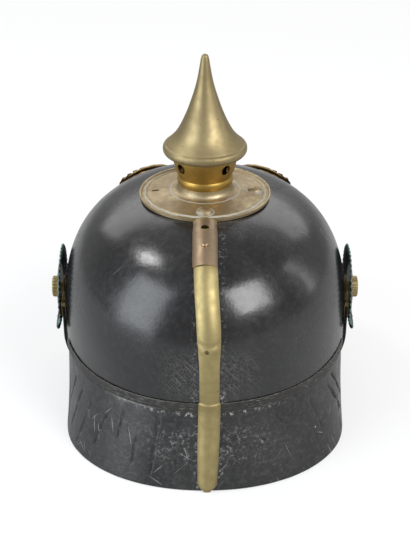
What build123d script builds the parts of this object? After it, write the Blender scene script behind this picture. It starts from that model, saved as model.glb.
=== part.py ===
from build123d import *
import math
import os

# Pickelhaube, a spiked leather helmet. Millimetres, +Z up, wearer's face towards -Y,
# wearer's left towards +X. The origin lies on the table plane, under the spike's axis.

os.makedirs("parts", exist_ok=True)

# Leather shell
shell_half_width = 93.0
shell_half_length = 107.5
crown_height = 147.4
equator_height = 60.5
shell_wall = 2.8
dome_exponent = 2.83
dome_height_shares = (0.0, 0.24, 0.45, 0.63, 0.78, 0.89, 0.955, 0.985)
rim_side_height = 47.5
rim_rear_height = 50.0
rim_front_height = 58.0
rim_level_share = 0.5
rim_bend_share = 0.7
crown_hole_radius = 14.0
overrun = 30.0
stock_width = 430.0
full_turn = 360.0

# Visors
visor_wall = 2.6
visor_top_lap = 1.2
visor_front_reach = 37.0
visor_rear_flare = 16.4
visor_angles = (16.0, 26.0, 38.5, 59.5, 90.0)
rear_flare_shares = (0.10, 0.40, 0.83, 1.0, 0.82)
front_flare_shares = (0.04, 0.13, 0.36, 0.80, 1.0)
visor_tip = 28.0
rear_visor_foot = 50.0
front_visor_foot = 66.0
trim_wall = 0.8
trim_width = 5.0

# Seam bands that cover the joint of shell and visors
band_width = 6.2
band_thickness = 0.6
band_gap = 0.06

# Base plate, neck and spike
plate_radius = 42.0
plate_wall = 0.9
plate_rim_height = 146.2
plate_lip = 0.8
plate_crown_height = 148.6
plate_collar_radius = 17.2
plate_collar_foot = 21.5
plate_collar_height = 153.8
ring_radius = 37.7
ring_section = 0.5
neck_ring_radius = 17.9
neck_ring_thickness = 5.2
neck_wall = 0.9
neck_waist_radius = 17.2
neck_waist_rise = 1.0
neck_top_radius = 20.8
neck_top_height = 175.3
neck_lip_radius = 22.4
neck_lip_wall = 1.0
neck_bend_share = 0.22
vent_count = 4
vent_width = 4.6
vent_length = 6.6
vent_height = 169.2
vent_turn = 45.0
spike_wall = 1.1
spike_flange_radius = 26.3
spike_flange_height = 178.0
spike_skirt_height = 174.4
spike_skirt_radius = 25.4
spike_tip_height = 238.2
spike_gap = 0.1
spike_profile_shares = (
    (1.0, 0.0), (0.955, 0.042), (0.844, 0.098), (0.677, 0.198), (0.536, 0.304), (0.422, 0.407),
    (0.335, 0.508), (0.240, 0.631), (0.170, 0.752), (0.118, 0.875), (0.095, 0.958),
)
spike_hollow_count = 8
spike_nose_share = 0.6
spigot_radius = 13.8
spigot_wall = 1.0
bayonet_bore_clearance = 0.06
bayonet_ring_thickness = 1.6
lug_count = 3
lug_reach = 1.0
lug_height = 2.0
lug_width = 5.0
lug_drop = 0.15
lug_clearance = 0.2
bayonet_turn = 35.0

# Split studs of the base plate, three of four are left
stud_circle_radius = 31.8
stud_head_radius = 5.0
stud_head_height = 3.0
stud_leg_width = 4.0
stud_leg_thickness = 1.4
stud_leg_depth = 8.2
stud_fold_length = 5.0
stud_fold_thickness = 0.9
stud_clearance = 0.3
stud_angles = (90.0, 180.0, 270.0)
slit_angles = (0.0, 90.0, 180.0, 270.0)
washer_radius = 6.0
washer_thickness = 1.2

# Rear spine and its vent slider
spine_gap = 0.9
spine_start = 42.7
spine_centre = (30.0, 50.4)
spine_crown_radius = 95.6
spine_shoulder_radius = 52.0
spine_back_radius = 87.1
spine_crown_end = 29.5
spine_shoulder_end = 62.0
upright = 90.0
spine_width = 14.0
spine_rise = 3.6
spine_wall = 0.8
hook_wall = 0.8
hook_gap = 0.05
hook_width = 11.0
hook_height = 4.0
slider_start_angle = 9.2
slider_length_angle = 21.4
slider_wall = 0.5
slider_clearance = 0.08
vent_hole_radius = 2.6
vent_hole_angle = 12.9
slider_hole_angle = 14.3
slider_stud_angle = 22.4
slider_slot_angle = 22.7
slider_slot_length = 8.4
slider_stud_radius = 2.0
slider_stud_height = 1.6
slider_stud_chamfer = 0.5
slider_shank_radius = 1.0
slider_shank_clearance = 0.1
slider_foot_drop = 0.2
slider_foot_height = 0.6
rivet_height = 93.0
rivet_head_radius = 2.6
rivet_head_height = 1.4
rivet_shank_radius = 1.2
rivet_clearance = 0.15
rivet_inner_reach = 2.2
rivet_washer_radius = 3.4
rivet_washer_thickness = 0.9

# Side posts with cockades, rosettes and knobs
post_height = 77.0
post_radius = 2.0
post_clearance = 0.1
post_thread_end = 0.5
nut_radius = 5.0
nut_sides = 6
nut_thickness = 2.2
nut_gap = 0.1
post_washer_radius = 7.0
post_washer_thickness = 0.9
shoulder_radius = 3.2
shoulder_gap = 0.08
strap_side_gap = 0.3
lug_cheek = 0.5
strap_thickness = 1.6
eye_radius = 7.5
eye_thickness = 1.0
eye_clearance = 0.06
cockade_gap = 0.12
cockade_radius = 28.6
cockade_wall = 0.6
cockade_dish = 1.1
cockade_hub_radius = 13.6
cockade_rim_fold = 1.2
cockade_flutes = 44
cockade_flute_radius = 1.2
rosette_radius = 13.0
rosette_thickness = 0.8
rosette_dome = 0.4
knob_radius = 7.0
knob_thickness = 4.0
knob_rounding = 1.0
knob_gap = 0.05
knob_bore_clearance = 0.05
knob_bore_depth = 3.2
knob_grooves = 20
knob_groove_radius = 0.6

# Chinstrap
strap_width = 16.0
strap_end_drop = 11.0
strap_lug_lap = 9.0
lug_bridge = 3.0
lug_tail_width = 12.0
strap_bottom = 3.4
strap_corner_radius = 42.0
lug_rivet_radius = 1.5
lug_rivet_drop = 5.0
slide_place = 30.0
slide_length = 12.0
slide_wall = 1.6
slide_clearance = 0.1

# Front plate
plate_half_span = 60.0
front_plate_top = 130.0
front_plate_bottom = 64.5
front_plate_gap = 2.0
front_plate_wall = 1.6
front_plate_relief = 2.2
eagle_shares = (
    (0.00, 0.97), (0.07, 0.99), (0.12, 0.93), (0.19, 0.90), (0.11, 0.84), (0.13, 0.72),
    (0.24, 0.70), (0.38, 0.80), (0.47, 0.95), (0.60, 1.00), (0.80, 0.99), (0.96, 0.92),
    (1.00, 0.78), (0.95, 0.72), (0.97, 0.60), (0.89, 0.56), (0.90, 0.45), (0.80, 0.43),
    (0.79, 0.33), (0.68, 0.33), (0.65, 0.24), (0.54, 0.27), (0.48, 0.19), (0.36, 0.28),
    (0.26, 0.24), (0.38, 0.10), (0.34, 0.02), (0.20, 0.04), (0.12, 0.00), (0.00, 0.02),
)
eagle_body_shares = ((0.00, 0.90), (0.13, 0.66), (0.19, 0.46), (0.13, 0.24), (0.00, 0.14))
loop_place = 26.0
loop_height = 102.0
loop_width = 6.0
loop_thickness = 1.6
loop_clearance = 0.3
loop_wall = 1.2
pin_radius = 1.1
pin_length = 12.0
pin_clearance = 0.6

# Leather liner with its drawstring
liner_wall = 1.4
liner_gap = 0.6
liner_foot_height = 50.5
liner_band_height = 94.0
liner_band_lean = 11.0
liner_fold_height = 112.0
liner_fold_lean = 20.0
liner_tip_height = 124.0
liner_tip_lean = 38.0
tongue_count = 10
tongue_slot_half_angle = 5.5
drawstring_radius = 1.2
drawstring_inset = -0.3
drawstring_height = 118.0


def dome_radius_share(height_share):
    """Half width of the dome at a share of its height, as a share of the half width at its foot."""
    return (1 - height_share**dome_exponent) ** (1 / dome_exponent)


def dome(extra):
    """Closed oval dome whose face stands this far outside the shell's outer face."""
    rise = crown_height + extra - equator_height
    with BuildPart() as body:
        with BuildSketch(Plane.XY.offset(rim_side_height - overrun)):
            Ellipse(shell_half_width + extra, shell_half_length + extra)
        for height_share in dome_height_shares:
            share = dome_radius_share(height_share)
            with BuildSketch(Plane.XY.offset(equator_height + rise * height_share)):
                Ellipse((shell_half_width + extra) * share, (shell_half_length + extra) * share)
        loft()
    return body.part


def slab(low, high):
    """Wide block between two heights."""
    with BuildPart() as body:
        with BuildSketch(Plane.XY.offset(low)):
            Rectangle(stock_width, stock_width)
        extrude(amount=high - low)
    return body.part


def below_rim(raised):
    """Everything below the wavy rim line of the shell, with that line raised by some amount."""
    far = 2 * shell_half_length
    side = rim_side_height + raised
    rear = rim_rear_height + raised
    front = rim_front_height + raised
    with BuildPart() as body:
        with BuildSketch(Plane.YZ):
            with BuildLine():
                Line((far, rear), (shell_half_length, rear))
                Bezier(
                    (shell_half_length, rear),
                    (rim_bend_share * shell_half_length, side),
                    (rim_level_share * shell_half_length, side),
                    (0, side),
                )
                Bezier(
                    (0, side),
                    (-rim_level_share * shell_half_length, side),
                    (-rim_bend_share * shell_half_length, side),
                    (-shell_half_length, front),
                )
                Polyline(
                    (-shell_half_length, front), (-far, front), (-far, -overrun), (far, -overrun), (far, rear)
                )
            make_face()
        extrude(amount=far, both=True)
    return body.part


def keep_common(first, *others):
    """Common solid of two or more parts."""
    with BuildPart() as body:
        add(first)
        for other in others:
            add(other, mode=Mode.INTERSECT)
    return body.part


def cut_away(first, *others):
    """First part less all the others."""
    with BuildPart() as body:
        add(first)
        for other in others:
            add(other, mode=Mode.SUBTRACT)
    return body.part


def save(part, name):
    """Label a finished piece and write its file."""
    part.label = name
    export_step(part, f"parts/{name}.step")


def oval_radius(angle):
    """Distance from the axis to the shell's outer face at the rim, in degrees from +X."""
    across = math.cos(math.radians(angle)) / shell_half_width
    along = math.sin(math.radians(angle)) / shell_half_length
    return 1 / math.hypot(across, along)


def visor_curve(flare, shares, inset, side):
    """Points round one visor at one height, from one tip to the other."""
    points = []
    for angle, share in zip(visor_angles, shares):
        radius = oval_radius(angle) + flare * share - inset
        turn = math.radians(angle)
        points.append((radius * math.cos(turn), side * radius * math.sin(turn)))
    return points + [(-x, y) for x, y in reversed(points[:-1])]


def visor_wall_solid(seam_height, foot, flare, shares, proud, side):
    """Flared wall of one visor, this much thicker than the leather on each face."""
    with BuildPart() as body:
        for height, reach in ((seam_height, 0), (foot, flare)):
            outer = visor_curve(reach, shares, -proud, side)
            inner = visor_curve(reach, shares, visor_wall + proud, side)
            with BuildSketch(Plane.XY.offset(height)):
                with BuildLine():
                    Spline(*outer)
                    Line(outer[-1], inner[-1])
                    Spline(*reversed(inner))
                    Line(inner[0], outer[0])
                make_face()
        loft(ruled=True)
    return body.part


def visor_side_view(foot, foot_height, side, shrink):
    """Block seen from the side in the visor's outline, drawn in by some amount from its free edge."""
    far = 2 * shell_half_length
    tip = visor_tip + shrink
    heel = foot + shrink
    low = foot_height + shrink
    with BuildPart() as body:
        with BuildSketch(Plane.YZ):
            with BuildLine():
                Line((side * tip, crown_height), (side * tip, rim_side_height))
                Bezier(
                    (side * tip, rim_side_height),
                    (side * tip, rim_side_height * rim_level_share),
                    (side * (tip + heel) * rim_level_share, low),
                    (side * heel, low),
                )
                Polyline(
                    (side * heel, low),
                    (side * far, low),
                    (side * far, crown_height),
                    (side * tip, crown_height),
                )
            make_face()
        extrude(amount=far, both=True)
    return body.part


# Leather shell, pressed in one piece, with its crown vent and the holes of all its fittings
rim_block = below_rim(0)
outer_dome = dome(0)
inner_dome = dome(-shell_wall)
hollow_dome = cut_away(outer_dome, inner_dome, rim_block)
with BuildPart() as shell:
    add(hollow_dome)
    with BuildSketch(Plane.XY.offset(crown_height - overrun)):
        Circle(crown_hole_radius)
        for angle in slit_angles:
            with PolarLocations(stud_circle_radius, 1, start_angle=angle):
                Rectangle(stud_leg_width + 2 * stud_clearance, stud_leg_thickness + 2 * stud_clearance)
    extrude(amount=2 * overrun, mode=Mode.SUBTRACT)
    with BuildSketch(Plane.YZ):
        with Locations((0, post_height)):
            Circle(post_radius + post_clearance)
    extrude(amount=shell_half_width + overrun, both=True, mode=Mode.SUBTRACT)
    with BuildSketch(Plane.XZ):
        for across in (-loop_place, loop_place):
            with Locations((across, loop_height)):
                Rectangle(loop_thickness + 2 * loop_clearance, loop_width + 2 * loop_clearance)
    extrude(amount=shell_half_length + overrun, mode=Mode.SUBTRACT)
    with BuildSketch(Plane.XZ):
        with Locations((0, rivet_height)):
            Circle(rivet_shank_radius + rivet_clearance)
    extrude(amount=-shell_half_length - overrun, mode=Mode.SUBTRACT)
vent_direction = math.radians(vent_hole_angle)
vent_axis = (0, math.sin(vent_direction), math.cos(vent_direction))
vent_reach = spine_crown_radius - overrun
vent_root = (0, spine_centre[0] + vent_reach * vent_axis[1], spine_centre[1] + vent_reach * vent_axis[2])
with BuildPart() as vent_drill:
    with BuildSketch(Plane(origin=vent_root, z_dir=vent_axis)):
        Circle(vent_hole_radius)
    extrude(amount=2 * overrun)
save(cut_away(shell.part, vent_drill.part), "shell")

# Rear visor and front visor, sewn to the shell along the rim
rear_seam_height = rim_rear_height + visor_top_lap
front_seam_height = rim_front_height + visor_top_lap
rear_wall = visor_wall_solid(rear_seam_height, 0, visor_rear_flare, rear_flare_shares, 0, 1)
rear_outline = visor_side_view(rear_visor_foot, hook_wall + hook_gap, 1, 0)
front_wall = visor_wall_solid(front_seam_height, 0, visor_front_reach, front_flare_shares, 0, -1)
front_outline = visor_side_view(front_visor_foot, trim_wall, -1, 0)
save(keep_common(rear_wall, rear_outline, rim_block), "rear_visor")
front_visor = keep_common(front_wall, front_outline, rim_block)
save(front_visor, "front_visor")

# Brass channel round the free edge of the front visor
trim_stock = visor_wall_solid(front_seam_height, 0, visor_front_reach, front_flare_shares, trim_wall, -1)
trim_outside = visor_side_view(front_visor_foot, trim_wall, -1, -trim_wall)
trim_inside = visor_side_view(front_visor_foot, trim_wall, -1, trim_width)
front_visor_trim = cut_away(keep_common(trim_stock, trim_outside, rim_block), trim_inside, front_visor)
save(front_visor_trim, "front_visor_trim")

# Stitched bands that cover the two visor seams
band_block = cut_away(below_rim(band_width), rim_block)
with BuildPart() as band_ring:
    with BuildSketch(Plane.XY.offset(rim_side_height - band_width)):
        Ellipse(shell_half_width + band_gap + band_thickness, shell_half_length + band_gap + band_thickness)
        Ellipse(shell_half_width + band_gap, shell_half_length + band_gap, mode=Mode.SUBTRACT)
    extrude(amount=overrun)
for name, side in (("rear_seam_band", 1), ("front_seam_band", -1)):
    with BuildPart() as seam_band:
        add(keep_common(band_ring.part, band_block))
        with BuildSketch(Plane.XZ.offset(-side * visor_tip)):
            Rectangle(stock_width, stock_width)
        extrude(amount=-side * 2 * shell_half_length, mode=Mode.INTERSECT)
    save(seam_band.part, name)

# Round base plate with a raised ring, a turned-up rim and a central collar
plate_top = [
    (plate_radius, plate_rim_height + plate_lip),
    (plate_radius - plate_wall, plate_rim_height + plate_lip),
    (plate_radius - 2 * plate_wall, plate_rim_height),
    (ring_radius + 2 * ring_section, plate_rim_height + ring_section / 2),
    (ring_radius, plate_rim_height + 2 * ring_section),
    (ring_radius - 2 * ring_section, plate_rim_height + ring_section),
    (plate_collar_foot, plate_crown_height),
]
plate_underside = [
    (plate_collar_radius, plate_collar_height),
    (plate_collar_radius - plate_wall, plate_collar_height),
    (plate_collar_radius - plate_wall, plate_crown_height - plate_wall),
    (ring_radius, plate_rim_height - plate_wall + ring_section),
    (plate_radius, plate_rim_height - plate_wall),
    (plate_radius, plate_rim_height + plate_lip),
]
with BuildPart() as base_plate:
    with BuildSketch(Plane.XZ):
        with BuildLine():
            Polyline(*plate_top)
            Bezier(plate_top[-1], (plate_collar_radius, plate_crown_height), plate_underside[0])
            Polyline(*plate_underside)
        make_face()
    revolve(axis=Axis.Z)
    with BuildSketch(Plane.XY.offset(plate_rim_height - overrun)):
        for angle in slit_angles:
            with PolarLocations(stud_circle_radius, 1, start_angle=angle):
                Rectangle(stud_leg_width + 2 * stud_clearance, stud_leg_thickness + 2 * stud_clearance)
    extrude(amount=2 * overrun, mode=Mode.SUBTRACT)
save(base_plate.part, "base_plate")

# Rounded ring between the collar and the neck
neck_foot_height = plate_collar_height + neck_ring_thickness
with BuildPart() as neck_ring:
    with BuildSketch(Plane.XZ):
        with BuildLine():
            ring_face = ThreePointArc(
                (neck_waist_radius, plate_collar_height),
                (neck_ring_radius, plate_collar_height + neck_ring_thickness / 2),
                (neck_waist_radius, neck_foot_height),
            )
            Polyline(
                ring_face @ 1,
                (neck_waist_radius - neck_wall, neck_foot_height),
                (neck_waist_radius - neck_wall, plate_collar_height),
                ring_face @ 0,
            )
        make_face()
    revolve(axis=Axis.Z)
save(neck_ring.part, "neck_ring")

# Flared neck with oval vents and a flat lip under the spike
waist_top_height = neck_foot_height + neck_waist_rise
neck_bend_height = waist_top_height + neck_bend_share * (neck_top_height - waist_top_height)


def neck_face(inset):
    """One face of the neck's flare, from the waist to the lip."""
    return Bezier(
        (neck_waist_radius - inset, waist_top_height),
        (neck_waist_radius - inset, neck_bend_height),
        (neck_top_radius - inset, neck_bend_height),
        (neck_top_radius - inset, neck_top_height - neck_lip_wall),
    )


with BuildPart() as neck:
    with BuildSketch(Plane.XZ):
        with BuildLine():
            neck_face(0)
            Polyline(
                (neck_top_radius, neck_top_height - neck_lip_wall),
                (neck_lip_radius, neck_top_height - neck_lip_wall),
                (neck_lip_radius, neck_top_height),
                (neck_top_radius - neck_wall, neck_top_height),
                (neck_top_radius - neck_wall, neck_top_height - neck_lip_wall),
            )
            neck_face(neck_wall)
            Polyline(
                (neck_waist_radius - neck_wall, waist_top_height),
                (neck_waist_radius - neck_wall, neck_foot_height),
                (neck_waist_radius, neck_foot_height),
                (neck_waist_radius, waist_top_height),
            )
        make_face()
    revolve(axis=Axis.Z)
    for index in range(vent_count // 2):
        vent_angle = vent_turn + index * full_turn / vent_count
        with BuildSketch(Plane.XZ.rotated((0, 0, vent_angle))):
            with Locations((0, vent_height)):
                Ellipse(vent_width / 2, vent_length / 2)
        extrude(amount=neck_lip_radius, both=True, mode=Mode.SUBTRACT)
save(neck.part, "neck")

# Bayonet ring in the neck's waist, notched where the spike's lugs go in
bayonet_ring_radius = neck_waist_radius - neck_wall
lug_radius = spigot_radius + lug_reach
with BuildPart() as bayonet_ring:
    with BuildSketch(Plane.XY.offset(neck_foot_height)):
        Circle(bayonet_ring_radius)
        Circle(spigot_radius + bayonet_bore_clearance, mode=Mode.SUBTRACT)
    extrude(amount=bayonet_ring_thickness)
    with BuildSketch(Plane.XY.offset(neck_foot_height)):
        Circle(lug_radius + lug_clearance)
        with BuildSketch(mode=Mode.INTERSECT):
            with PolarLocations(lug_radius, lug_count, start_angle=bayonet_turn):
                Rectangle(2 * lug_radius, lug_width + 2 * lug_clearance)
    extrude(amount=bayonet_ring_thickness, mode=Mode.SUBTRACT)
save(bayonet_ring.part, "bayonet_ring")

# Hollow spike, spun like a trumpet, with its spigot and three bayonet lugs
spike_rise = spike_tip_height - spike_flange_height
web_height = neck_top_height + spike_gap
spigot_foot_height = neck_foot_height - lug_drop - lug_height
spike_outside = [
    (spike_flange_radius * radius_share, spike_flange_height + spike_rise * height_share)
    for radius_share, height_share in spike_profile_shares
]
spike_inside = [(radius - spike_wall, height) for radius, height in spike_outside[:spike_hollow_count]]
with BuildPart() as spike:
    with BuildSketch(Plane.XZ):
        with BuildLine():
            Spline(*spike_outside)
            nose_radius, nose_height = spike_outside[-1]
            Bezier(
                (nose_radius, nose_height),
                (nose_radius * spike_nose_share, spike_tip_height),
                (0, spike_tip_height),
            )
            Line((0, spike_tip_height), (0, spike_inside[-1][1]))
            Line((0, spike_inside[-1][1]), spike_inside[-1])
            Spline(*reversed(spike_inside))
            Polyline(
                spike_inside[0],
                (spike_inside[0][0], web_height + spike_wall),
                (spigot_radius - spigot_wall, web_height + spike_wall),
                (spigot_radius - spigot_wall, spigot_foot_height),
                (spigot_radius, spigot_foot_height),
                (spigot_radius, web_height),
                (spike_skirt_radius - spike_wall, web_height),
                (spike_skirt_radius - spike_wall, spike_skirt_height),
                (spike_skirt_radius, spike_skirt_height),
                (spike_flange_radius, web_height),
                spike_outside[0],
            )
        make_face()
    revolve(axis=Axis.Z)
    with BuildSketch(Plane.XY.offset(spigot_foot_height)):
        Circle(lug_radius)
        with BuildSketch(mode=Mode.INTERSECT):
            with PolarLocations(lug_radius, lug_count):
                Rectangle(2 * lug_radius, lug_width)
        Circle(spigot_radius - spigot_wall / 2, mode=Mode.SUBTRACT)
    extrude(amount=lug_height)
save(spike.part, "spike")

# Domed studs with split legs, and the leather washers that they clamp inside the shell
stud_root_height = plate_rim_height
fold_height = plate_rim_height - stud_leg_depth
with BuildPart() as stud_heads:
    with BuildSketch(Plane.XZ):
        with BuildLine():
            Line((0, stud_root_height), (stud_head_radius, stud_root_height))
            Bezier(
                (stud_head_radius, stud_root_height),
                (stud_head_radius, stud_root_height + stud_head_height + plate_lip),
                (0, stud_root_height + stud_head_height + plate_lip),
            )
            Line((0, stud_root_height + stud_head_height + plate_lip), (0, stud_root_height))
        make_face()
    stud_dome = revolve(axis=Axis.Z, mode=Mode.PRIVATE)
    for angle in stud_angles:
        with PolarLocations(stud_circle_radius, 1, start_angle=angle):
            add(stud_dome)
with BuildPart() as stud_legs:
    for angle in stud_angles:
        with BuildSketch(Plane.XY.offset(fold_height)):
            with PolarLocations(stud_circle_radius, 1, start_angle=angle):
                Rectangle(stud_leg_width, stud_leg_thickness)
        extrude(amount=stud_root_height + stud_head_height / 2 - fold_height)
        with BuildSketch(Plane.XY.offset(fold_height)):
            with PolarLocations(stud_circle_radius, 1, start_angle=angle):
                Rectangle(stud_leg_width, 2 * stud_fold_length)
        extrude(amount=stud_fold_thickness)
with BuildPart() as base_plate_studs:
    add(cut_away(stud_heads.part, base_plate.part))
    add(stud_legs.part)
save(base_plate_studs.part, "base_plate_studs")
with BuildPart() as stud_washers:
    with BuildSketch(Plane.XY.offset(fold_height + stud_fold_thickness)):
        for angle in stud_angles:
            with PolarLocations(stud_circle_radius, 1, start_angle=angle):
                Circle(washer_radius)
                Rectangle(
                    stud_leg_width + 2 * stud_clearance,
                    stud_leg_thickness + 2 * stud_clearance,
                    mode=Mode.SUBTRACT,
                )
    extrude(amount=washer_thickness)
save(stud_washers.part, "stud_washers")


def spine_place(angle, radius):
    """Point of the spine's crown arc at an angle back from upright."""
    turn = math.radians(angle)
    return (0, spine_centre[0] + radius * math.sin(turn), spine_centre[1] + radius * math.cos(turn))


def spine_plane(angle, radius):
    """Plane on the spine's crown arc that faces straight out of the shell."""
    turn = math.radians(angle)
    outward = (0, math.sin(turn), math.cos(turn))
    return Plane(origin=spine_place(angle, radius), x_dir=(1, 0, 0), z_dir=outward)


def rear_visor_face(height):
    """How far back the rear visor's outer face lies on the middle line, at a height."""
    reach = visor_rear_flare * rear_flare_shares[-1]
    return shell_half_length + reach * (1 - height / rear_seam_height)


def arch(plane, width, rise, wall):
    """Thin arched section of the spine or of its slider, as a face on a plane."""
    with BuildSketch(plane) as section:
        with BuildLine():
            ThreePointArc((-width / 2, 0), (0, rise), (width / 2, 0))
            Line((width / 2, 0), (width / 2 - wall, 0))
            ThreePointArc((width / 2 - wall, 0), (0, rise - wall), (wall - width / 2, 0))
            Line((wall - width / 2, 0), (-width / 2, 0))
        make_face()
    return section.sketch


# Rear spine: a hollow D section that follows the shell, kinks at the seam and hooks under the visor
spine_foot = spine_crown_radius + spine_gap
spine_start_angle = math.degrees(math.asin((spine_start - spine_centre[0]) / spine_foot))
visor_slant = math.degrees(math.atan(visor_rear_flare * rear_flare_shares[-1] / rear_seam_height))


def bent_arch(centre, radius, start_angle, end_angle, width, rise, wall):
    """Arched strip bent round an axis across the helmet, from one angle back from upright to another."""
    turn = math.radians(start_angle)
    outward = (0, math.sin(turn), math.cos(turn))
    start = (0, centre[0] + radius * outward[1], centre[1] + radius * outward[2])
    with BuildPart() as strip:
        section = arch(
            Plane(origin=start, x_dir=(-1, 0, 0), z_dir=(0, outward[2], -outward[1])), width, rise, wall
        )
        revolve(
            profiles=section,
            axis=Axis((0, centre[0], centre[1]), (-1, 0, 0)),
            revolution_arc=end_angle - start_angle,
        )
    return strip.part


def next_centre(centre, radius, angle, next_radius):
    """Centre of the arc that carries on smoothly from an arc at an angle."""
    turn = math.radians(angle)
    step = radius - next_radius
    return (centre[0] + step * math.sin(turn), centre[1] + step * math.cos(turn))


shoulder_centre = next_centre(spine_centre, spine_crown_radius, spine_crown_end, spine_shoulder_radius)
back_centre = next_centre(shoulder_centre, spine_shoulder_radius, spine_shoulder_end, spine_back_radius)
spine_back = back_centre[0] + spine_back_radius + spine_gap
slant = math.radians(visor_slant)
spine_heel = spine_back + rim_rear_height * math.tan(slant)
spine_section = (spine_width, spine_rise, spine_wall)
with BuildPart() as slanted_strip:
    slanted_plane = Plane(
        origin=(0, spine_heel, 0), x_dir=(-1, 0, 0), z_dir=(0, math.sin(slant), -math.cos(slant))
    )
    extrude(arch(slanted_plane, *spine_section), amount=-overrun - rim_rear_height)
    extrude(arch(slanted_plane, *spine_section), amount=spine_rise)
with BuildPart() as upright_strip:
    upright_plane = Plane(origin=(0, spine_back, back_centre[1]), x_dir=(-1, 0, 0), z_dir=(0, 0, -1))
    extrude(arch(upright_plane, *spine_section), amount=back_centre[1] - rim_rear_height)
hook_inside = rear_visor_face(hook_height) - visor_wall - 2 * hook_gap
with BuildPart() as rear_spine:
    add(bent_arch(spine_centre, spine_foot, spine_start_angle, spine_crown_end, *spine_section))
    for centre, radius, start_angle, end_angle in (
        (shoulder_centre, spine_shoulder_radius, spine_crown_end, spine_shoulder_end),
        (back_centre, spine_back_radius, spine_shoulder_end, upright),
    ):
        add(bent_arch(centre, radius + spine_gap, start_angle, end_angle, *spine_section))
    add(upright_strip.part)
    add(keep_common(slanted_strip.part, slab(0, rim_rear_height)))
    with BuildSketch(Plane.YZ):
        with BuildLine():
            Polyline(
                (hook_inside - hook_wall, 0),
                (spine_heel + spine_rise - spine_wall / 2, 0),
                (spine_heel + spine_rise - spine_wall / 2, hook_wall),
                (hook_inside, hook_wall),
                (hook_inside, hook_height),
                (hook_inside - hook_wall, hook_height),
                close=True,
            )
        make_face()
    extrude(amount=hook_width / 2, both=True)
with BuildPart() as spine_holes:
    add(vent_drill.part)
    with BuildSketch(spine_plane(slider_slot_angle, spine_foot)):
        SlotOverall(slider_slot_length, 2 * (slider_shank_radius + slider_shank_clearance), rotation=upright)
    extrude(amount=2 * spine_rise)
    with BuildSketch(Plane.XZ.offset(-shell_half_length / 2)):
        with Locations((0, rivet_height)):
            Circle(rivet_shank_radius + rivet_clearance)
    extrude(amount=-shell_half_length)
rear_spine_part = cut_away(rear_spine.part, spine_holes.part)
save(rear_spine_part, "rear_spine")

# Vent slider over the spine's crown, and the stud that guides it in the spine's slot
slider_strip = bent_arch(
    spine_centre,
    spine_foot,
    slider_start_angle,
    slider_start_angle + slider_length_angle,
    spine_width + 2 * (slider_clearance + slider_wall),
    spine_rise + slider_clearance + slider_wall,
    slider_wall,
)
with BuildPart() as slider_holes:
    for angle, radius in ((slider_hole_angle, vent_hole_radius), (slider_stud_angle, slider_shank_radius)):
        with BuildSketch(spine_plane(angle, spine_foot)):
            Circle(radius)
        extrude(amount=2 * spine_rise)
save(cut_away(slider_strip, slider_holes.part), "spine_slider")
slider_top = spine_foot + spine_rise + slider_clearance + slider_wall
slot_floor = spine_foot + spine_rise - spine_wall - slider_foot_drop
with BuildPart() as slider_stud:
    with BuildSketch(spine_plane(slider_stud_angle, slider_top)):
        Circle(slider_stud_radius)
    extrude(amount=slider_stud_height)
    chamfer(slider_stud.edges().sort_by(Axis.Z)[-1], slider_stud_chamfer)
    with BuildSketch(spine_plane(slider_stud_angle, slot_floor - slider_foot_height)):
        Circle(slider_shank_radius)
    extrude(amount=slider_top - slot_floor + slider_foot_height)
    with BuildSketch(spine_plane(slider_stud_angle, slot_floor - slider_foot_height)):
        Circle(slider_stud_radius)
    extrude(amount=slider_foot_height)
save(slider_stud.part, "slider_stud")


def dome_reach(height, extra, half_size):
    """Half size of the dome's face at a height."""
    return (half_size + extra) * dome_radius_share(
        max(0, height - equator_height) / (crown_height + extra - equator_height)
    )


# Rivet through spine and leather, with a low domed head that fits the spine, and its washer inside
rivet_top = back_centre[0] + math.sqrt(
    (spine_back_radius + spine_gap + spine_rise) ** 2 - (rivet_height - back_centre[1]) ** 2
)
rivet_root = rivet_top - spine_wall
rivet_face = dome_reach(rivet_height + rivet_washer_radius, -shell_wall, shell_half_length) - rivet_clearance
with BuildPart() as spine_rivet:
    with BuildSketch(Plane.XZ.offset(-rivet_root)):
        with Locations((0, rivet_height)):
            Circle(rivet_head_radius)
    extrude(amount=-spine_wall - rivet_head_height)
    fillet(spine_rivet.edges().sort_by(Axis.Y)[-1], rivet_head_height / 2)
    add(rear_spine_part, mode=Mode.SUBTRACT)
    with BuildSketch(Plane.XZ.offset(-rivet_face + rivet_inner_reach)):
        with Locations((0, rivet_height)):
            Circle(rivet_shank_radius)
    extrude(amount=-(rivet_root - rivet_face + rivet_inner_reach + spine_wall))
save(spine_rivet.part, "spine_rivet")
with BuildPart() as spine_rivet_washer:
    with BuildSketch(Plane.XZ.offset(-rivet_face)):
        with Locations((0, rivet_height)):
            Circle(rivet_washer_radius)
            Circle(rivet_shank_radius, mode=Mode.SUBTRACT)
    extrude(amount=rivet_washer_thickness)
save(spine_rivet_washer.part, "spine_rivet_washer")

# Stack of faces along a side post, measured out from the middle plane
post_shell_face = dome_reach(post_height - shoulder_radius, 0, shell_half_width)
post_washer_face = dome_reach(post_height + post_washer_radius, -shell_wall, shell_half_width) - nut_gap
post_nut_face = post_washer_face - post_washer_thickness
lug_inner_face = shell_half_width + strap_side_gap
strap_inner_face = lug_inner_face + lug_cheek
strap_outer_face = strap_inner_face + strap_thickness
lug_outer_face = strap_outer_face + lug_cheek
cockade_face = lug_outer_face + cockade_gap
rosette_face = cockade_face + cockade_wall
knob_face = rosette_face + rosette_thickness + knob_gap
strap_end_height = post_height - strap_end_drop
lug_foot_height = strap_end_height - strap_lug_lap
lug_rivet_height = strap_end_height - lug_rivet_drop


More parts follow.
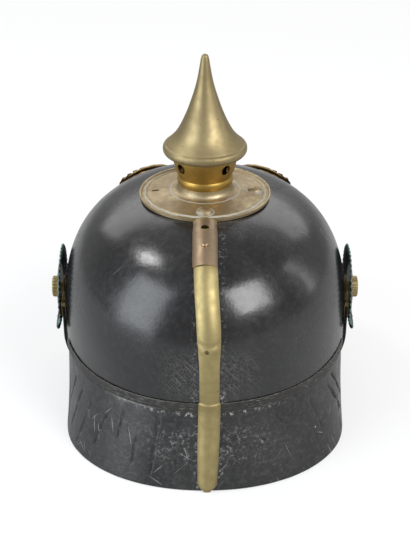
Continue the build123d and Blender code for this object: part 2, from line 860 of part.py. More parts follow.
def side_discs(side, *discs):
    """Round discs on a side post, each given by its two faces and its radius."""
    with BuildPart() as stack:
        for near, far, radius in discs:
            with BuildSketch(Plane.YZ.offset(side * near)):
                with Locations((0, post_height)):
                    Circle(radius)
            extrude(amount=side * (far - near))
    return stack.part


def side_plate(side, near, far, width, low, high):
    """Flat plate beside the shell, between two faces and two heights."""
    with BuildPart() as plate:
        with BuildSketch(Plane.YZ.offset(side * near)):
            with Locations((0, (low + high) / 2)):
                Rectangle(width, high - low)
        extrude(amount=side * (far - near))
    return plate.part


def side_post(side):
    """Shoulder bolt through the shell: thread inside, sleeve for the strap lug, thread for the knob."""
    return side_discs(
        side,
        (post_nut_face - nut_thickness - post_thread_end, knob_face + knob_bore_depth, post_radius),
        (post_shell_face + shoulder_gap, cockade_face, shoulder_radius),
    )


def post_nut(side):
    """Hexagonal nut inside the shell."""
    with BuildPart() as nut:
        with BuildSketch(Plane.YZ.offset(side * post_nut_face)):
            with Locations((0, post_height)):
                RegularPolygon(nut_radius, nut_sides)
                Circle(post_radius, mode=Mode.SUBTRACT)
        extrude(amount=-side * nut_thickness)
    return nut.part


def post_washer(side):
    """Leather washer between the nut and the shell."""
    return cut_away(
        side_discs(side, (post_nut_face, post_washer_face, post_washer_radius)),
        side_discs(side, (post_nut_face, post_washer_face, post_radius + post_clearance)),
    )


def cockade(side):
    """Dished metal cockade with a fluted rim."""
    near = cockade_face
    inner_face = (
        (side * near, post_height + post_radius + post_clearance),
        (side * near, post_height + cockade_hub_radius),
        (side * (near + cockade_dish), post_height + cockade_radius - cockade_rim_fold),
        (side * (near + cockade_dish), post_height + cockade_radius),
    )
    outer_face = [(x + side * cockade_wall, z) for x, z in inner_face]
    with BuildPart() as disc:
        with BuildSketch(Plane.XZ):
            with BuildLine():
                Polyline(*inner_face, *reversed(outer_face), close=True)
            make_face()
        revolve(axis=Axis((0, 0, post_height), (1, 0, 0)))
        with BuildSketch(Plane.YZ.offset(side * near)):
            with Locations((0, post_height)):
                with PolarLocations(cockade_radius + cockade_flute_radius / 2, cockade_flutes):
                    Circle(cockade_flute_radius)
        extrude(amount=side * (cockade_dish + 2 * cockade_wall), mode=Mode.SUBTRACT)
    return disc.part


def rosette(side):
    """Small plate clamped between the cockade and the knob."""
    with BuildPart() as disc:
        add(side_discs(side, (rosette_face, rosette_face + rosette_thickness, rosette_radius)))
        outer = disc.edges().filter_by(GeomType.CIRCLE).sort_by(Axis.X)[-1 if side > 0 else 0]
        chamfer(outer, rosette_dome)
        add(
            side_discs(side, (rosette_face, rosette_face + rosette_thickness, post_radius + post_clearance)),
            mode=Mode.SUBTRACT,
        )
    return disc.part


def knob(side):
    """Grooved round nut that holds the cockade on the post."""
    with BuildPart() as nut:
        add(side_discs(side, (knob_face, knob_face + knob_thickness, knob_radius)))
        outer = nut.edges().filter_by(GeomType.CIRCLE).sort_by(Axis.X)[-1 if side > 0 else 0]
        fillet(outer, knob_rounding)
        with BuildSketch(Plane.YZ.offset(side * knob_face)):
            with Locations((0, post_height)):
                with PolarLocations(knob_radius, knob_grooves):
                    Circle(knob_groove_radius)
        extrude(amount=side * knob_thickness, mode=Mode.SUBTRACT)
        add(
            side_discs(
                side, (knob_face, knob_face + knob_bore_depth + knob_gap, post_radius + knob_bore_clearance)
            ),
            mode=Mode.SUBTRACT,
        )
    return nut.part


def strap_lug(side):
    """Folded brass end of the chinstrap, with its eye round the post's sleeve."""
    with BuildPart() as lug:
        add(side_discs(side, (lug_inner_face, lug_inner_face + eye_thickness, eye_radius)))
        for near, far, width, low, high in (
            (lug_inner_face, strap_inner_face, lug_tail_width, lug_foot_height, post_height),
            (lug_inner_face, lug_outer_face, strap_width, strap_end_height, strap_end_height + lug_bridge),
            (strap_outer_face, lug_outer_face, lug_tail_width, lug_foot_height, strap_end_height),
        ):
            add(side_plate(side, near, far, width, low, high))
        add(
            side_discs(side, (lug_inner_face, lug_outer_face, shoulder_radius + eye_clearance)),
            mode=Mode.SUBTRACT,
        )
        add(strap_rivet(side), mode=Mode.SUBTRACT)
    return lug.part


def strap_rivet(side):
    """Rivet that holds the leather in its lug."""
    with BuildPart() as rivet:
        with BuildSketch(Plane.YZ.offset(side * lug_inner_face)):
            with Locations((0, lug_rivet_height)):
                Circle(lug_rivet_radius)
        extrude(amount=side * (lug_outer_face - lug_inner_face))
    return rivet.part


# Fittings of the two side posts
for side_name, side in (("left", 1), ("right", -1)):
    save(side_post(side), f"{side_name}_side_post")
    save(post_nut(side), f"{side_name}_post_nut")
    save(post_washer(side), f"{side_name}_post_washer")
    save(cockade(side), f"{side_name}_cockade")
    save(rosette(side), f"{side_name}_rosette")
    save(knob(side), f"{side_name}_knob")
    save(strap_lug(side), f"{side_name}_strap_lug")

# Leather chinstrap, hanging in a U from both posts
strap_low = strap_bottom
strap_high = strap_bottom + strap_thickness
with BuildPart() as chinstrap:
    with BuildSketch(Plane.XZ):
        with BuildLine():
            outer_line = FilletPolyline(
                (strap_outer_face, strap_end_height),
                (strap_outer_face, strap_low),
                (-strap_outer_face, strap_low),
                (-strap_outer_face, strap_end_height),
                radius=strap_corner_radius,
            )
            Line(outer_line @ 1, (-strap_inner_face, strap_end_height))
            inner_line = FilletPolyline(
                (-strap_inner_face, strap_end_height),
                (-strap_inner_face, strap_high),
                (strap_inner_face, strap_high),
                (strap_inner_face, strap_end_height),
                radius=strap_corner_radius - strap_thickness,
            )
            Line(inner_line @ 1, outer_line @ 0)
        make_face()
    extrude(amount=strap_width / 2, both=True)
    for side in (1, -1):
        add(strap_rivet(side), mode=Mode.SUBTRACT)
save(chinstrap.part, "chinstrap")
with BuildPart() as strap_rivets:
    for side in (1, -1):
        add(strap_rivet(side))
save(strap_rivets.part, "strap_rivets")

# Two brass slides on the strap's level run
for name, side in (("left_strap_slide", 1), ("right_strap_slide", -1)):
    with BuildPart() as strap_slide:
        with BuildSketch(Plane.YZ.offset(side * slide_place - slide_length / 2)):
            with Locations((0, strap_low + strap_thickness / 2)):
                Rectangle(
                    strap_width + 2 * (slide_clearance + slide_wall),
                    strap_thickness + 2 * (slide_clearance + slide_wall),
                )
                Rectangle(
                    strap_width + 2 * slide_clearance,
                    strap_thickness + 2 * slide_clearance,
                    mode=Mode.SUBTRACT,
                )
        extrude(amount=slide_length)
        with BuildSketch(Plane.XY.offset(strap_high)):
            with Locations((side * slide_place, 0)):
                Rectangle(slide_length - 2 * slide_wall, strap_width - 2 * slide_wall)
        extrude(amount=overrun, mode=Mode.SUBTRACT)
        fillet(strap_slide.edges().filter_by(Axis.X).group_by(Axis.Z)[-1], slide_wall / 2)
    save(strap_slide.part, name)


def plate_prism(shares):
    """Block through the front of the helmet in a mirrored outline of the front plate."""
    rise = front_plate_top - front_plate_bottom
    half = [(plate_half_span * across, front_plate_bottom + rise * up) for across, up in shares]
    outline = half + [(-x, z) for x, z in reversed(half) if x > 0]
    with BuildPart() as block:
        with BuildSketch(Plane.XZ):
            with BuildLine():
                Polyline(*outline, close=True)
            make_face()
        extrude(amount=2 * shell_half_length)
    return block.part


# Stamped front plate: a displayed eagle, bent to the shell, with a raised body
plate_back = dome(front_plate_gap)
with BuildPart() as front_plate:
    for shares, thickness in (
        (eagle_shares, front_plate_wall),
        (eagle_body_shares, front_plate_wall + front_plate_relief),
    ):
        add(cut_away(keep_common(plate_prism(shares), dome(front_plate_gap + thickness)), plate_back))
save(front_plate.part, "front_plate")

# Loops on the back of the front plate, held inside the shell by brass pins
pin_height = loop_height + pin_radius
pin_end_share = (loop_place + pin_length / 2) / dome_reach(pin_height, -shell_wall, shell_half_width)
pin_shell_face = dome_reach(pin_height, -shell_wall, shell_half_length) * math.sqrt(1 - pin_end_share**2)
pin_place = pin_shell_face - pin_clearance - pin_radius
loop_end = pin_place - pin_radius - loop_wall
with BuildPart() as loop_bars:
    with BuildSketch(Plane.XZ.offset(loop_end)):
        for across in (-loop_place, loop_place):
            with Locations((across, loop_height)):
                Rectangle(loop_thickness, loop_width)
    extrude(amount=shell_half_length)
with BuildPart() as pin_bars:
    with BuildSketch(Plane.YZ.offset(-loop_place - pin_length / 2)):
        with Locations((-pin_place, loop_height)):
            Circle(pin_radius)
    extrude(amount=pin_length)
    with BuildSketch(Plane.YZ.offset(loop_place - pin_length / 2)):
        with Locations((-pin_place, loop_height)):
            Circle(pin_radius)
    extrude(amount=pin_length)
save(cut_away(keep_common(loop_bars.part, plate_back), pin_bars.part), "front_plate_loops")
save(pin_bars.part, "front_plate_pins")

# Leather liner: a sweatband that rises into ten tongues
liner_foot_width = shell_half_width - shell_wall - liner_gap
liner_foot_length = shell_half_length - shell_wall - liner_gap
liner_stages = (
    (liner_foot_height, 0),
    (liner_band_height, liner_band_lean),
    (liner_fold_height, liner_fold_lean),
    (liner_tip_height, liner_tip_lean),
)


def liner_body(inset):
    """Closed cone-like body of the liner's face."""
    with BuildPart() as body:
        for height, lean in liner_stages:
            with BuildSketch(Plane.XY.offset(height)):
                Ellipse(liner_foot_width - lean - inset, liner_foot_length - lean - inset)
        loft()
    return body.part


with BuildPart() as liner:
    add(cut_away(liner_body(0), liner_body(liner_wall)))
    with BuildSketch(Plane.XY.offset(liner_band_height)):
        for index in range(tongue_count):
            middle = full_turn * (2 * index + 1) / (2 * tongue_count)
            corners = []
            for turn in (middle - tongue_slot_half_angle, middle + tongue_slot_half_angle):
                across, along = math.cos(math.radians(turn)), math.sin(math.radians(turn))
                corners.append((2 * liner_foot_length * across, 2 * liner_foot_length * along))
            with BuildLine():
                Polyline((0, 0), *corners, close=True)
            make_face()
    extrude(amount=overrun + liner_tip_height - liner_band_height, mode=Mode.SUBTRACT)
save(liner.part, "liner")

# Drawstring that gathers the tongues
string_lean = liner_fold_lean + (liner_tip_lean - liner_fold_lean) * (
    (drawstring_height - liner_fold_height) / (liner_tip_height - liner_fold_height)
)
string_inset = string_lean + liner_wall + drawstring_inset
with BuildPart() as drawstring:
    with BuildLine(Plane.XY.offset(drawstring_height)) as string_path:
        EllipticalCenterArc(
            (0, 0), liner_foot_width - string_inset, liner_foot_length - string_inset, arc_size=full_turn
        )
    with BuildSketch(Plane.XZ):
        with Locations((liner_foot_width - string_inset, drawstring_height)):
            Circle(drawstring_radius)
    sweep(path=string_path.line)
save(drawstring.part, "drawstring")
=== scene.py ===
import math

import bmesh
import bpy
import numpy as np
from mathutils import Matrix, Vector, noise


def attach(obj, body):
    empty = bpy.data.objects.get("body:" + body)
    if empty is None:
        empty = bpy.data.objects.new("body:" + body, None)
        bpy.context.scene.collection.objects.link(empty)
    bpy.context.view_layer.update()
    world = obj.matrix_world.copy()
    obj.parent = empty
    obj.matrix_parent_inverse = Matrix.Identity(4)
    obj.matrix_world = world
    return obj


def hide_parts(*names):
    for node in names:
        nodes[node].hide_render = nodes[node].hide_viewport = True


# Spiked leather helmet. Metres, +Z up, wearer's face towards -Y, wearer's left towards +X.

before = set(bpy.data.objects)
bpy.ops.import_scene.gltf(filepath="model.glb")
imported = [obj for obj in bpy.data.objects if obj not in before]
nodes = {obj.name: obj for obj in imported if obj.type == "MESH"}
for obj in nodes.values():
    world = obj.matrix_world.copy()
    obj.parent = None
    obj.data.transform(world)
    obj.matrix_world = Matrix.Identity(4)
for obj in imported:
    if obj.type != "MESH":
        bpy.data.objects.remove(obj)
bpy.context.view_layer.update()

# Shell, as in the solids
HALF_WIDTH = 0.0930
HALF_LENGTH = 0.1075
CROWN = 0.1474
EQUATOR = 0.0605
DOME_POWER = 2.83
SHELL_WALL = 0.0028
RIM_SIDE = 0.0475
RIM_REAR = 0.0500
RIM_FRONT = 0.0580
RIM_LEVEL = 0.5
RIM_BEND = 0.7
CROWN_HOLE_SHARE = 0.152
STUD_CIRCLE = 0.0318
MM = 0.001

# Visors, as in the solids
VISOR_WALL = 0.0026
VISOR_TIP = 0.028
VISOR_LAP = 0.0012
VISOR_ANGLES = (16.0, 26.0, 38.5, 59.5, 90.0)
REAR_FLARE = 0.0164
FRONT_FLARE = 0.0370
REAR_HEEL = 0.050
FRONT_HEEL = 0.066
REAR_FOOT = 0.00085
FRONT_FOOT = 0.0008
REAR_SHARES = (0.10, 0.40, 0.83, 1.0, 0.82)
FRONT_SHARES = (0.04, 0.13, 0.36, 0.80, 1.0)


# Modelling helpers: every one leaves its piece selected alone


def put_down():
    """Leave edit mode and let go of everything."""
    if bpy.context.object and bpy.context.object.mode == "EDIT":
        bpy.ops.object.mode_set(mode="OBJECT")
    bpy.ops.object.select_all(action="DESELECT")


def take(piece):
    """Hold this piece alone."""
    put_down()
    piece.select_set(True)
    bpy.context.view_layer.objects.active = piece


def start(name, add_primitive, **settings):
    """Add a primitive under a name, with its place and size in its mesh."""
    put_down()
    add_primitive(**settings)
    piece = bpy.context.object
    piece.name = piece.data.name = name
    bpy.ops.object.transform_apply(location=True, rotation=True, scale=True)
    return piece


def pick(piece, kind, test):
    """Go into edit mode with only those corners, edges or faces selected that pass the test."""
    take(piece)
    bpy.ops.object.mode_set(mode="EDIT")
    bpy.ops.mesh.select_mode(type=kind)
    bpy.ops.mesh.select_all(action="DESELECT")
    mesh = bmesh.from_edit_mesh(piece.data)
    parts = {"VERT": mesh.verts, "EDGE": mesh.edges, "FACE": mesh.faces}[kind]
    for part in parts:
        part.select_set(bool(test(part)))
    mesh.select_flush_mode()
    bmesh.update_edit_mesh(piece.data)


def shape(piece, move):
    """Move each corner of the piece by hand to where the function puts it."""
    for corner in piece.data.vertices:
        corner.co = move(corner.co)
    piece.data.update()


def modify(piece, kind, **settings):
    """Give the piece a modifier and apply it."""
    take(piece)
    modifier = piece.modifiers.new(kind.title(), kind)
    for setting, value in settings.items():
        setattr(modifier, setting, value)
    bpy.ops.object.modifier_apply(modifier=modifier.name)


def face_outwards(piece):
    """Weld doubled corners and turn every face outwards."""
    pick(piece, "VERT", lambda corner: True)
    bpy.ops.mesh.remove_doubles(threshold=0.00001)
    bpy.ops.mesh.normals_make_consistent(inside=False)
    put_down()


def turn_over(piece):
    """Turn every face of the piece to its other side."""
    pick(piece, "FACE", lambda face: True)
    bpy.ops.mesh.flip_normals()
    put_down()


def face_towards(piece, direction):
    """Turn the piece over if its face farthest in a direction looks the other way."""
    direction = Vector(direction)
    far = max(piece.data.polygons, key=lambda face: face.center.dot(direction))
    if far.normal.dot(direction) < 0:
        turn_over(piece)


def make_sheet(name, across, up, place):
    """Flat grid from -1 to 1 both ways, bent to shape and welded where its edges meet."""
    sheet = start(name, bpy.ops.mesh.primitive_grid_add, x_subdivisions=across, y_subdivisions=up, size=2)
    shape(sheet, place)
    face_outwards(sheet)
    return sheet


def make_stitch(name, scale):
    """One small stitch, as long, wide and high as the scale says."""
    return start(
        name, bpy.ops.mesh.primitive_uv_sphere_add, segments=8, ring_count=5, radius=1, scale=scale
    )


def cut(piece, *tools):
    """Cut tools out of a piece and throw them away."""
    for tool in tools:
        modify(piece, "BOOLEAN", object=tool, operation="DIFFERENCE", solver="EXACT")
        bpy.data.objects.remove(tool)


def round_edges(piece, width, angle):
    """Round the edges that are sharper than an angle."""
    limit = math.radians(angle)
    modify(piece, "BEVEL", width=width, segments=2, limit_method="ANGLE", angle_limit=limit)


def stand(here, *directions):
    """Place of a small piece, from the directions of its own three axes."""
    return Matrix.Translation(here) @ Matrix(directions).transposed().to_4x4()


def soften(piece, angle=40):
    """Shade the piece smooth, with edges kept that are sharper than an angle."""
    take(piece)
    bpy.ops.object.shade_smooth_by_angle(angle=math.radians(angle))
    put_down()


def copies(pattern, places, name):
    """Copy a small piece to each place, each copy with its own mesh, and join them into one."""
    made = []
    for place in places:
        copy = pattern.copy()
        copy.data = pattern.data.copy()
        bpy.context.scene.collection.objects.link(copy)
        copy.data.transform(place)
        made.append(copy)
    bpy.data.objects.remove(pattern)
    put_down()
    for copy in made:
        copy.select_set(True)
    bpy.context.view_layer.objects.active = made[0]
    bpy.ops.object.join()
    joined = bpy.context.object
    joined.name = joined.data.name = name
    return joined


def join(pieces, name):
    """Join pieces into one."""
    put_down()
    for piece in pieces:
        piece.select_set(True)
    bpy.context.view_layer.objects.active = pieces[0]
    bpy.ops.object.join()
    joined = bpy.context.object
    joined.name = joined.data.name = name
    return joined


def fit(piece, body, slot, material, *replaced):
    """Hang a finished piece on its body, with its finish, in place of CAD nodes."""
    piece.data.materials.clear()
    piece.data.materials.append(material)
    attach(piece, body)
    if replaced:
        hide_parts(*replaced)


def crowd(value):
    """Smooth rise from 0 to 1."""
    value = min(1.0, max(0.0, value))
    return value * value * (3 - 2 * value)


def bump(value, width):
    """Smooth hill of height 1 about zero."""
    return math.exp(-((value / width) ** 2))


def round_noise(turn, scale, seed):
    """Noise that closes on itself round a circle."""
    return noise.noise(Vector((scale * math.cos(turn), scale * math.sin(turn), seed)))


def lengths_along(line):
    """Length from the start of a line to each of its points, by the first two numbers of each."""
    steps = np.diff(np.array(line, float)[:, :2], axis=0)
    return np.concatenate(([0.0], np.cumsum(np.hypot(*steps.T))))


def at_length(reach, lengths, line):
    """The three numbers of a line's point at a length from its start."""
    return [float(np.interp(reach, lengths, line[:, i])) for i in range(3)]


# Node groups and materials


def put(tree, kind, inputs=None, **settings):
    """Add a shader node with settings, and with values or links for its sockets."""
    made = tree.nodes.new(kind)
    for setting, value in settings.items():
        setattr(made, setting, value)
    for socket, value in (inputs or {}).items():
        if isinstance(value, bpy.types.NodeSocket):
            tree.links.new(value, made.inputs[socket])
        else:
            made.inputs[socket].default_value = value
    return made


def maths(tree, operation, *values, clamp=False):
    """Math node on values or sockets, as its output."""
    made = put(tree, "ShaderNodeMath", dict(enumerate(values)), operation=operation, use_clamp=clamp)
    return made.outputs[0]


def window(tree, value, low, high, start_value=0.0, end_value=1.0):
    """Smooth step from one value to another between two limits."""
    made = put(
        tree,
        "ShaderNodeMapRange",
        {0: value, 1: low, 2: high, 3: start_value, 4: end_value},
        interpolation_type="SMOOTHSTEP",
    )
    return made.outputs[0]


def blend_colours(tree, share, first, second):
    """Mix of two colours, as an output."""
    made = put(tree, "ShaderNodeMix", {0: share, 6: first, 7: second}, data_type="RGBA")
    return made.outputs[2]


def lay(tree, tone, mask, share, colour):
    """Lay a colour over the tone where a mask says, as strongly as a share, as an output."""
    return blend_colours(tree, times(tree, mask, share), tone, colour)


def shade(colour, share):
    """A colour made darker or lighter."""
    return tuple(min(1.0, share * part) for part in colour) + (1,)


def times(tree, *values, clamp=False):
    """Product of two values or sockets."""
    return maths(tree, "MULTIPLY", *values, clamp=clamp)


def plus(tree, *values, clamp=False):
    """Sum of two values or sockets."""
    return maths(tree, "ADD", *values, clamp=clamp)


def minus(tree, *values):
    """Difference of two values or sockets."""
    return maths(tree, "SUBTRACT", *values)


def most(tree, *values):
    """Larger of two values or sockets."""
    return maths(tree, "MAXIMUM", *values)


def effect(name, inputs, outputs=("Mask",)):
    """Empty node group with named number inputs and outputs, and the piece's own coordinates inside."""
    tree = bpy.data.node_groups.new(name, "ShaderNodeTree")
    for socket, value in inputs:
        entry = tree.interface.new_socket(socket, in_out="INPUT", socket_type="NodeSocketFloat")
        entry.default_value = value
    for socket in outputs:
        tree.interface.new_socket(socket, in_out="OUTPUT", socket_type="NodeSocketFloat")
    inside = tree.nodes.new("NodeGroupInput")
    outside = tree.nodes.new("NodeGroupOutput")
    place = put(tree, "ShaderNodeTexCoord").outputs["Object"]
    return tree, inside.outputs, outside.inputs, place


def plain_noise(tree, place, scale, detail):
    """Noise node at a place."""
    return put(tree, "ShaderNodeTexNoise", {"Vector": place, "Scale": scale, "Detail": detail})


def patches(tree, place, scale, detail, share, before, after):
    """Soft-edged patches over about a share of the piece, as an output."""
    patch = plain_noise(tree, place, scale, detail)
    low = minus(tree, 1.0, share)
    return window(tree, patch.outputs["Fac"], minus(tree, low, before), plus(tree, low, after))


def make_crackle():
    """Fine net of cracks in old lacquer, in patches."""
    tree, given, result, place = effect(
        "lacquer_crackle", (("Scale", 260.0), ("Width", 0.05), ("Cover", 0.5)),
    )
    warp = plain_noise(tree, place, 90.0, 3.0)
    bent = put(
        tree,
        "ShaderNodeVectorMath",
        {0: warp.outputs["Color"], 1: (0.006, 0.006, 0.006)},
        operation="MULTIPLY",
    )
    moved = put(tree, "ShaderNodeVectorMath", {0: place, 1: bent.outputs[0]}, operation="ADD")
    cells = put(
        tree,
        "ShaderNodeTexVoronoi",
        {"Vector": moved.outputs[0], "Scale": given["Scale"]},
        feature="DISTANCE_TO_EDGE",
    )
    line = window(tree, cells.outputs["Distance"], 0.0, given["Width"], 1.0, 0.0)
    cover = patches(tree, place, 24.0, 3.0, given["Cover"], 0.0, 0.12)
    tree.links.new(times(tree, line, cover), result["Mask"])
    return tree


def make_scratches():
    """Straight thin scratches of one slant, pointed at both ends."""
    inputs = (
        ("Slant", 0.0), ("Scale", 1000.0), ("Stretch", 30.0),
        ("Width", 0.15), ("Share", 0.25), ("Cover", 0.5),
    )
    tree, given, result, place = effect("straight_scratches", inputs)
    parts = put(tree, "ShaderNodeSeparateXYZ", {0: place})
    round_it = times(tree, maths(tree, "ARCTAN2", parts.outputs["X"], parts.outputs["Y"]), 0.1)
    flat = put(tree, "ShaderNodeCombineXYZ", {0: round_it, 1: parts.outputs["Z"]})
    leaned = put(
        tree,
        "ShaderNodeVectorRotate",
        {"Vector": flat.outputs[0], "Axis": (0, 0, 1), "Angle": given["Slant"]},
    )
    sides = put(tree, "ShaderNodeSeparateXYZ", {0: leaned.outputs[0]})
    along = maths(tree, "DIVIDE", sides.outputs["Y"], given["Stretch"])
    stretched = put(tree, "ShaderNodeCombineXYZ", {0: sides.outputs["X"], 1: along})
    cells = put(
        tree,
        "ShaderNodeTexVoronoi",
        {"Vector": stretched.outputs[0], "Scale": given["Scale"], "Randomness": 1.0},
        voronoi_dimensions="2D",
    )
    core = times(tree, given["Width"], 0.5)
    line = window(tree, cells.outputs["Distance"], core, given["Width"], 1.0, 0.0)
    chance = put(tree, "ShaderNodeSeparateColor", {0: cells.outputs["Color"]})
    kept = times(
        tree,
        maths(tree, "LESS_THAN", chance.outputs[0], given["Share"]),
        plus(tree, 0.35, chance.outputs[1]),
    )
    cover = patches(tree, place, 38.0, 2.0, given["Cover"], 0.0, 0.1)
    mark = times(tree, times(tree, line, kept), cover, clamp=True)
    tree.links.new(mark, result["Mask"])
    return tree


def make_specks():
    """Scattered specks of dust and chips."""
    tree, given, result, place = effect("dust_specks", (("Scale", 300.0), ("Size", 0.16), ("Share", 0.12)))
    cells = put(tree, "ShaderNodeTexVoronoi", {"Vector": place, "Scale": given["Scale"], "Randomness": 1.0})
    dot = window(tree, cells.outputs["Distance"], times(tree, given["Size"], 0.5), given["Size"], 1.0, 0.0)
    chance = put(tree, "ShaderNodeSeparateColor", {0: cells.outputs["Color"]}).outputs[0]
    kept = maths(tree, "LESS_THAN", chance, given["Share"])
    tree.links.new(times(tree, dot, kept), result["Mask"])
    return tree


def make_mottle():
    """Cloudy variation at two scales."""
    tree, given, result, place = effect("cloudy_tone", (("Scale", 30.0), ("Contrast", 0.3)))
    wide = put(
        tree,
        "ShaderNodeTexNoise",
        {"Vector": place, "Scale": given["Scale"], "Detail": 5.0, "Roughness": 0.6},
    )
    half = times(tree, given["Contrast"], 0.5)
    tone = window(tree, wide.outputs["Fac"], minus(tree, 0.5, half), plus(tree, 0.5, half))
    tree.links.new(tone, result["Mask"])
    return tree


def make_grain():
    """Close pebbled grain of leather."""
    tree, given, result, place = effect("leather_grain", (("Scale", 900.0),), ("Height",))
    cells = put(
        tree, "ShaderNodeTexVoronoi", {"Vector": place, "Scale": given["Scale"]}, feature="SMOOTH_F1",
    )
    fine = plain_noise(tree, place, given["Scale"], 3.0)
    height = plus(tree, cells.outputs["Distance"], times(tree, fine.outputs["Fac"], 0.6))
    tree.links.new(height, result["Height"])
    return tree


def make_turning_marks():
    """Fine rings left by spinning and polishing about the upright axis."""
    tree, given, result, place = effect("turning_marks", (("Scale", 700.0),), ("Height",))
    parts = put(tree, "ShaderNodeSeparateXYZ", {0: place})
    across = maths(tree, "POWER", parts.outputs["X"], 2.0)
    along = maths(tree, "POWER", parts.outputs["Y"], 2.0)
    radius = maths(tree, "SQRT", plus(tree, across, along))
    rings = put(tree, "ShaderNodeCombineXYZ", {0: radius, 2: parts.outputs["Z"]})
    lines = put(
        tree,
        "ShaderNodeTexNoise",
        {"Vector": rings.outputs[0], "Scale": given["Scale"], "Detail": 3.0, "Roughness": 0.7},
    )
    tree.links.new(lines.outputs["Fac"], result["Height"])
    return tree


def make_residue():
    """Pale polish left in the corners: along the plate's ring, round its studs and at its collar."""
    tree, given, result, place = effect(
        "polish_residue", (("Ring", 0.0385), ("Width", 0.0008), ("Cover", 0.6)),
    )
    parts = put(tree, "ShaderNodeSeparateXYZ", {0: place})
    flat = put(tree, "ShaderNodeCombineXYZ", {0: parts.outputs["X"], 1: parts.outputs["Y"]})
    wander = plain_noise(tree, place, 160.0, 3.0)
    shift = times(tree, minus(tree, wander.outputs["Fac"], 0.5), 0.0022)
    lines = None
    studs = [(0, STUD_CIRCLE, 0.0053), (-STUD_CIRCLE, 0, 0.0053), (0, -STUD_CIRCLE, 0.0053)]
    for x, y, radius in ((0, 0, None), *studs, (0, 0, 0.0222)):
        away = put(tree, "ShaderNodeVectorMath", {0: flat.outputs[0], 1: (x, y, 0)}, operation="DISTANCE")
        size = given["Ring"] if radius is None else radius
        ring = maths(tree, "ABSOLUTE", plus(tree, minus(tree, away.outputs["Value"], size), shift))
        line = window(tree, ring, times(tree, given["Width"], 0.3), given["Width"], 1.0, 0.0)
        lines = line if lines is None else most(tree, lines, line)
    cover = patches(tree, place, 55.0, 4.0, given["Cover"], 0.1, 0.12)
    tree.links.new(times(tree, lines, cover), result["Mask"])
    return tree


def make_rear_region():
    """Share of the rear middle of the helmet, within a reach across and between two heights."""
    inputs = (
        ("Middle", -0.0022), ("Near", 0.0060), ("Reach", 0.02),
        ("Low", 0.0), ("High", 0.1), ("Soft", 0.006),
    )
    tree, given, result, place = effect("rear_region", inputs)
    parts = put(tree, "ShaderNodeSeparateXYZ", {0: place})
    across = maths(tree, "ABSOLUTE", minus(tree, parts.outputs["X"], given["Middle"]))
    near = window(tree, across, given["Near"], given["Reach"], 1.0, 0.0)
    rear = window(tree, parts.outputs["Y"], 0.0, 0.02)
    above = window(tree, parts.outputs["Z"], given["Low"], plus(tree, given["Low"], given["Soft"]))
    fading = minus(tree, given["High"], given["Soft"])
    below = window(tree, parts.outputs["Z"], fading, given["High"], 1.0, 0.0)
    mask = times(tree, times(tree, near, rear), times(tree, above, below))
    tree.links.new(mask, result["Mask"])
    return tree


def make_worn_edges():
    """Outer edges where the finish has rubbed away."""
    tree, given, result, place = effect("worn_edges", (("Radius", 0.0008), ("Wear", 0.5)))
    rounded = put(tree, "ShaderNodeBevel", {"Radius": given["Radius"]}, samples=4)
    flat = put(tree, "ShaderNodeNewGeometry")
    same = put(
        tree,
        "ShaderNodeVectorMath",
        {0: rounded.outputs[0], 1: flat.outputs["Normal"]},
        operation="DOT_PRODUCT",
    )
    edge = window(tree, same.outputs["Value"], 0.72, 0.98, 1.0, 0.0)
    cover = patches(tree, place, 220.0, 3.0, given["Wear"], 0.1, 0.1)
    tree.links.new(times(tree, edge, cover), result["Mask"])
    return tree


crackle = make_crackle()
scratches = make_scratches()
specks = make_specks()
mottle = make_mottle()
grain = make_grain()
turning_marks = make_turning_marks()
worn_edges = make_worn_edges()
residue_lines = make_residue()
rear_region = make_rear_region()


def use(tree, group, **inputs):
    """Place an effect in a material with its own values, as its first output."""
    made = put(tree, "ShaderNodeGroup", {}, node_tree=group)
    for socket, value in inputs.items():
        made.inputs[socket].default_value = value
    return made.outputs[0]


def finish(name):
    """New material, as its node tree and its shader."""
    material = bpy.data.materials.new(name)
    material.use_nodes = True
    shader = material.node_tree.nodes["Principled BSDF"]
    return material, material.node_tree, shader


def feed(tree, shader, **inputs):
    """Set or link the shader's sockets, with spaces in their names written as underscores."""
    for socket, value in inputs.items():
        socket = socket.replace("_", " ")
        if isinstance(value, bpy.types.NodeSocket):
            tree.links.new(value, shader.inputs[socket])
        else:
            shader.inputs[socket].default_value = value


def raise_surface(tree, height, distance, strength=1.0, under=None):
    """Bump from a height, over another bump if one is given."""
    inputs = {"Height": height, "Distance": distance, "Strength": strength}
    if under is not None:
        inputs["Normal"] = under
    return put(tree, "ShaderNodeBump", inputs).outputs[0]


def rough_noise(tree, scale, detail, roughness):
    """Uneven noise over the piece, as an output."""
    place = put(tree, "ShaderNodeTexCoord").outputs["Object"]
    inputs = {"Vector": place, "Scale": scale, "Detail": detail, "Roughness": roughness}
    return put(tree, "ShaderNodeTexNoise", inputs).outputs["Fac"]


def scratched(tree, slant, scale, stretch, width, share, cover):
    """Scratches of one slant, as an output."""
    return use(
        tree, scratches, Slant=slant, Scale=scale, Stretch=stretch, Width=width, Share=share, Cover=cover
    )


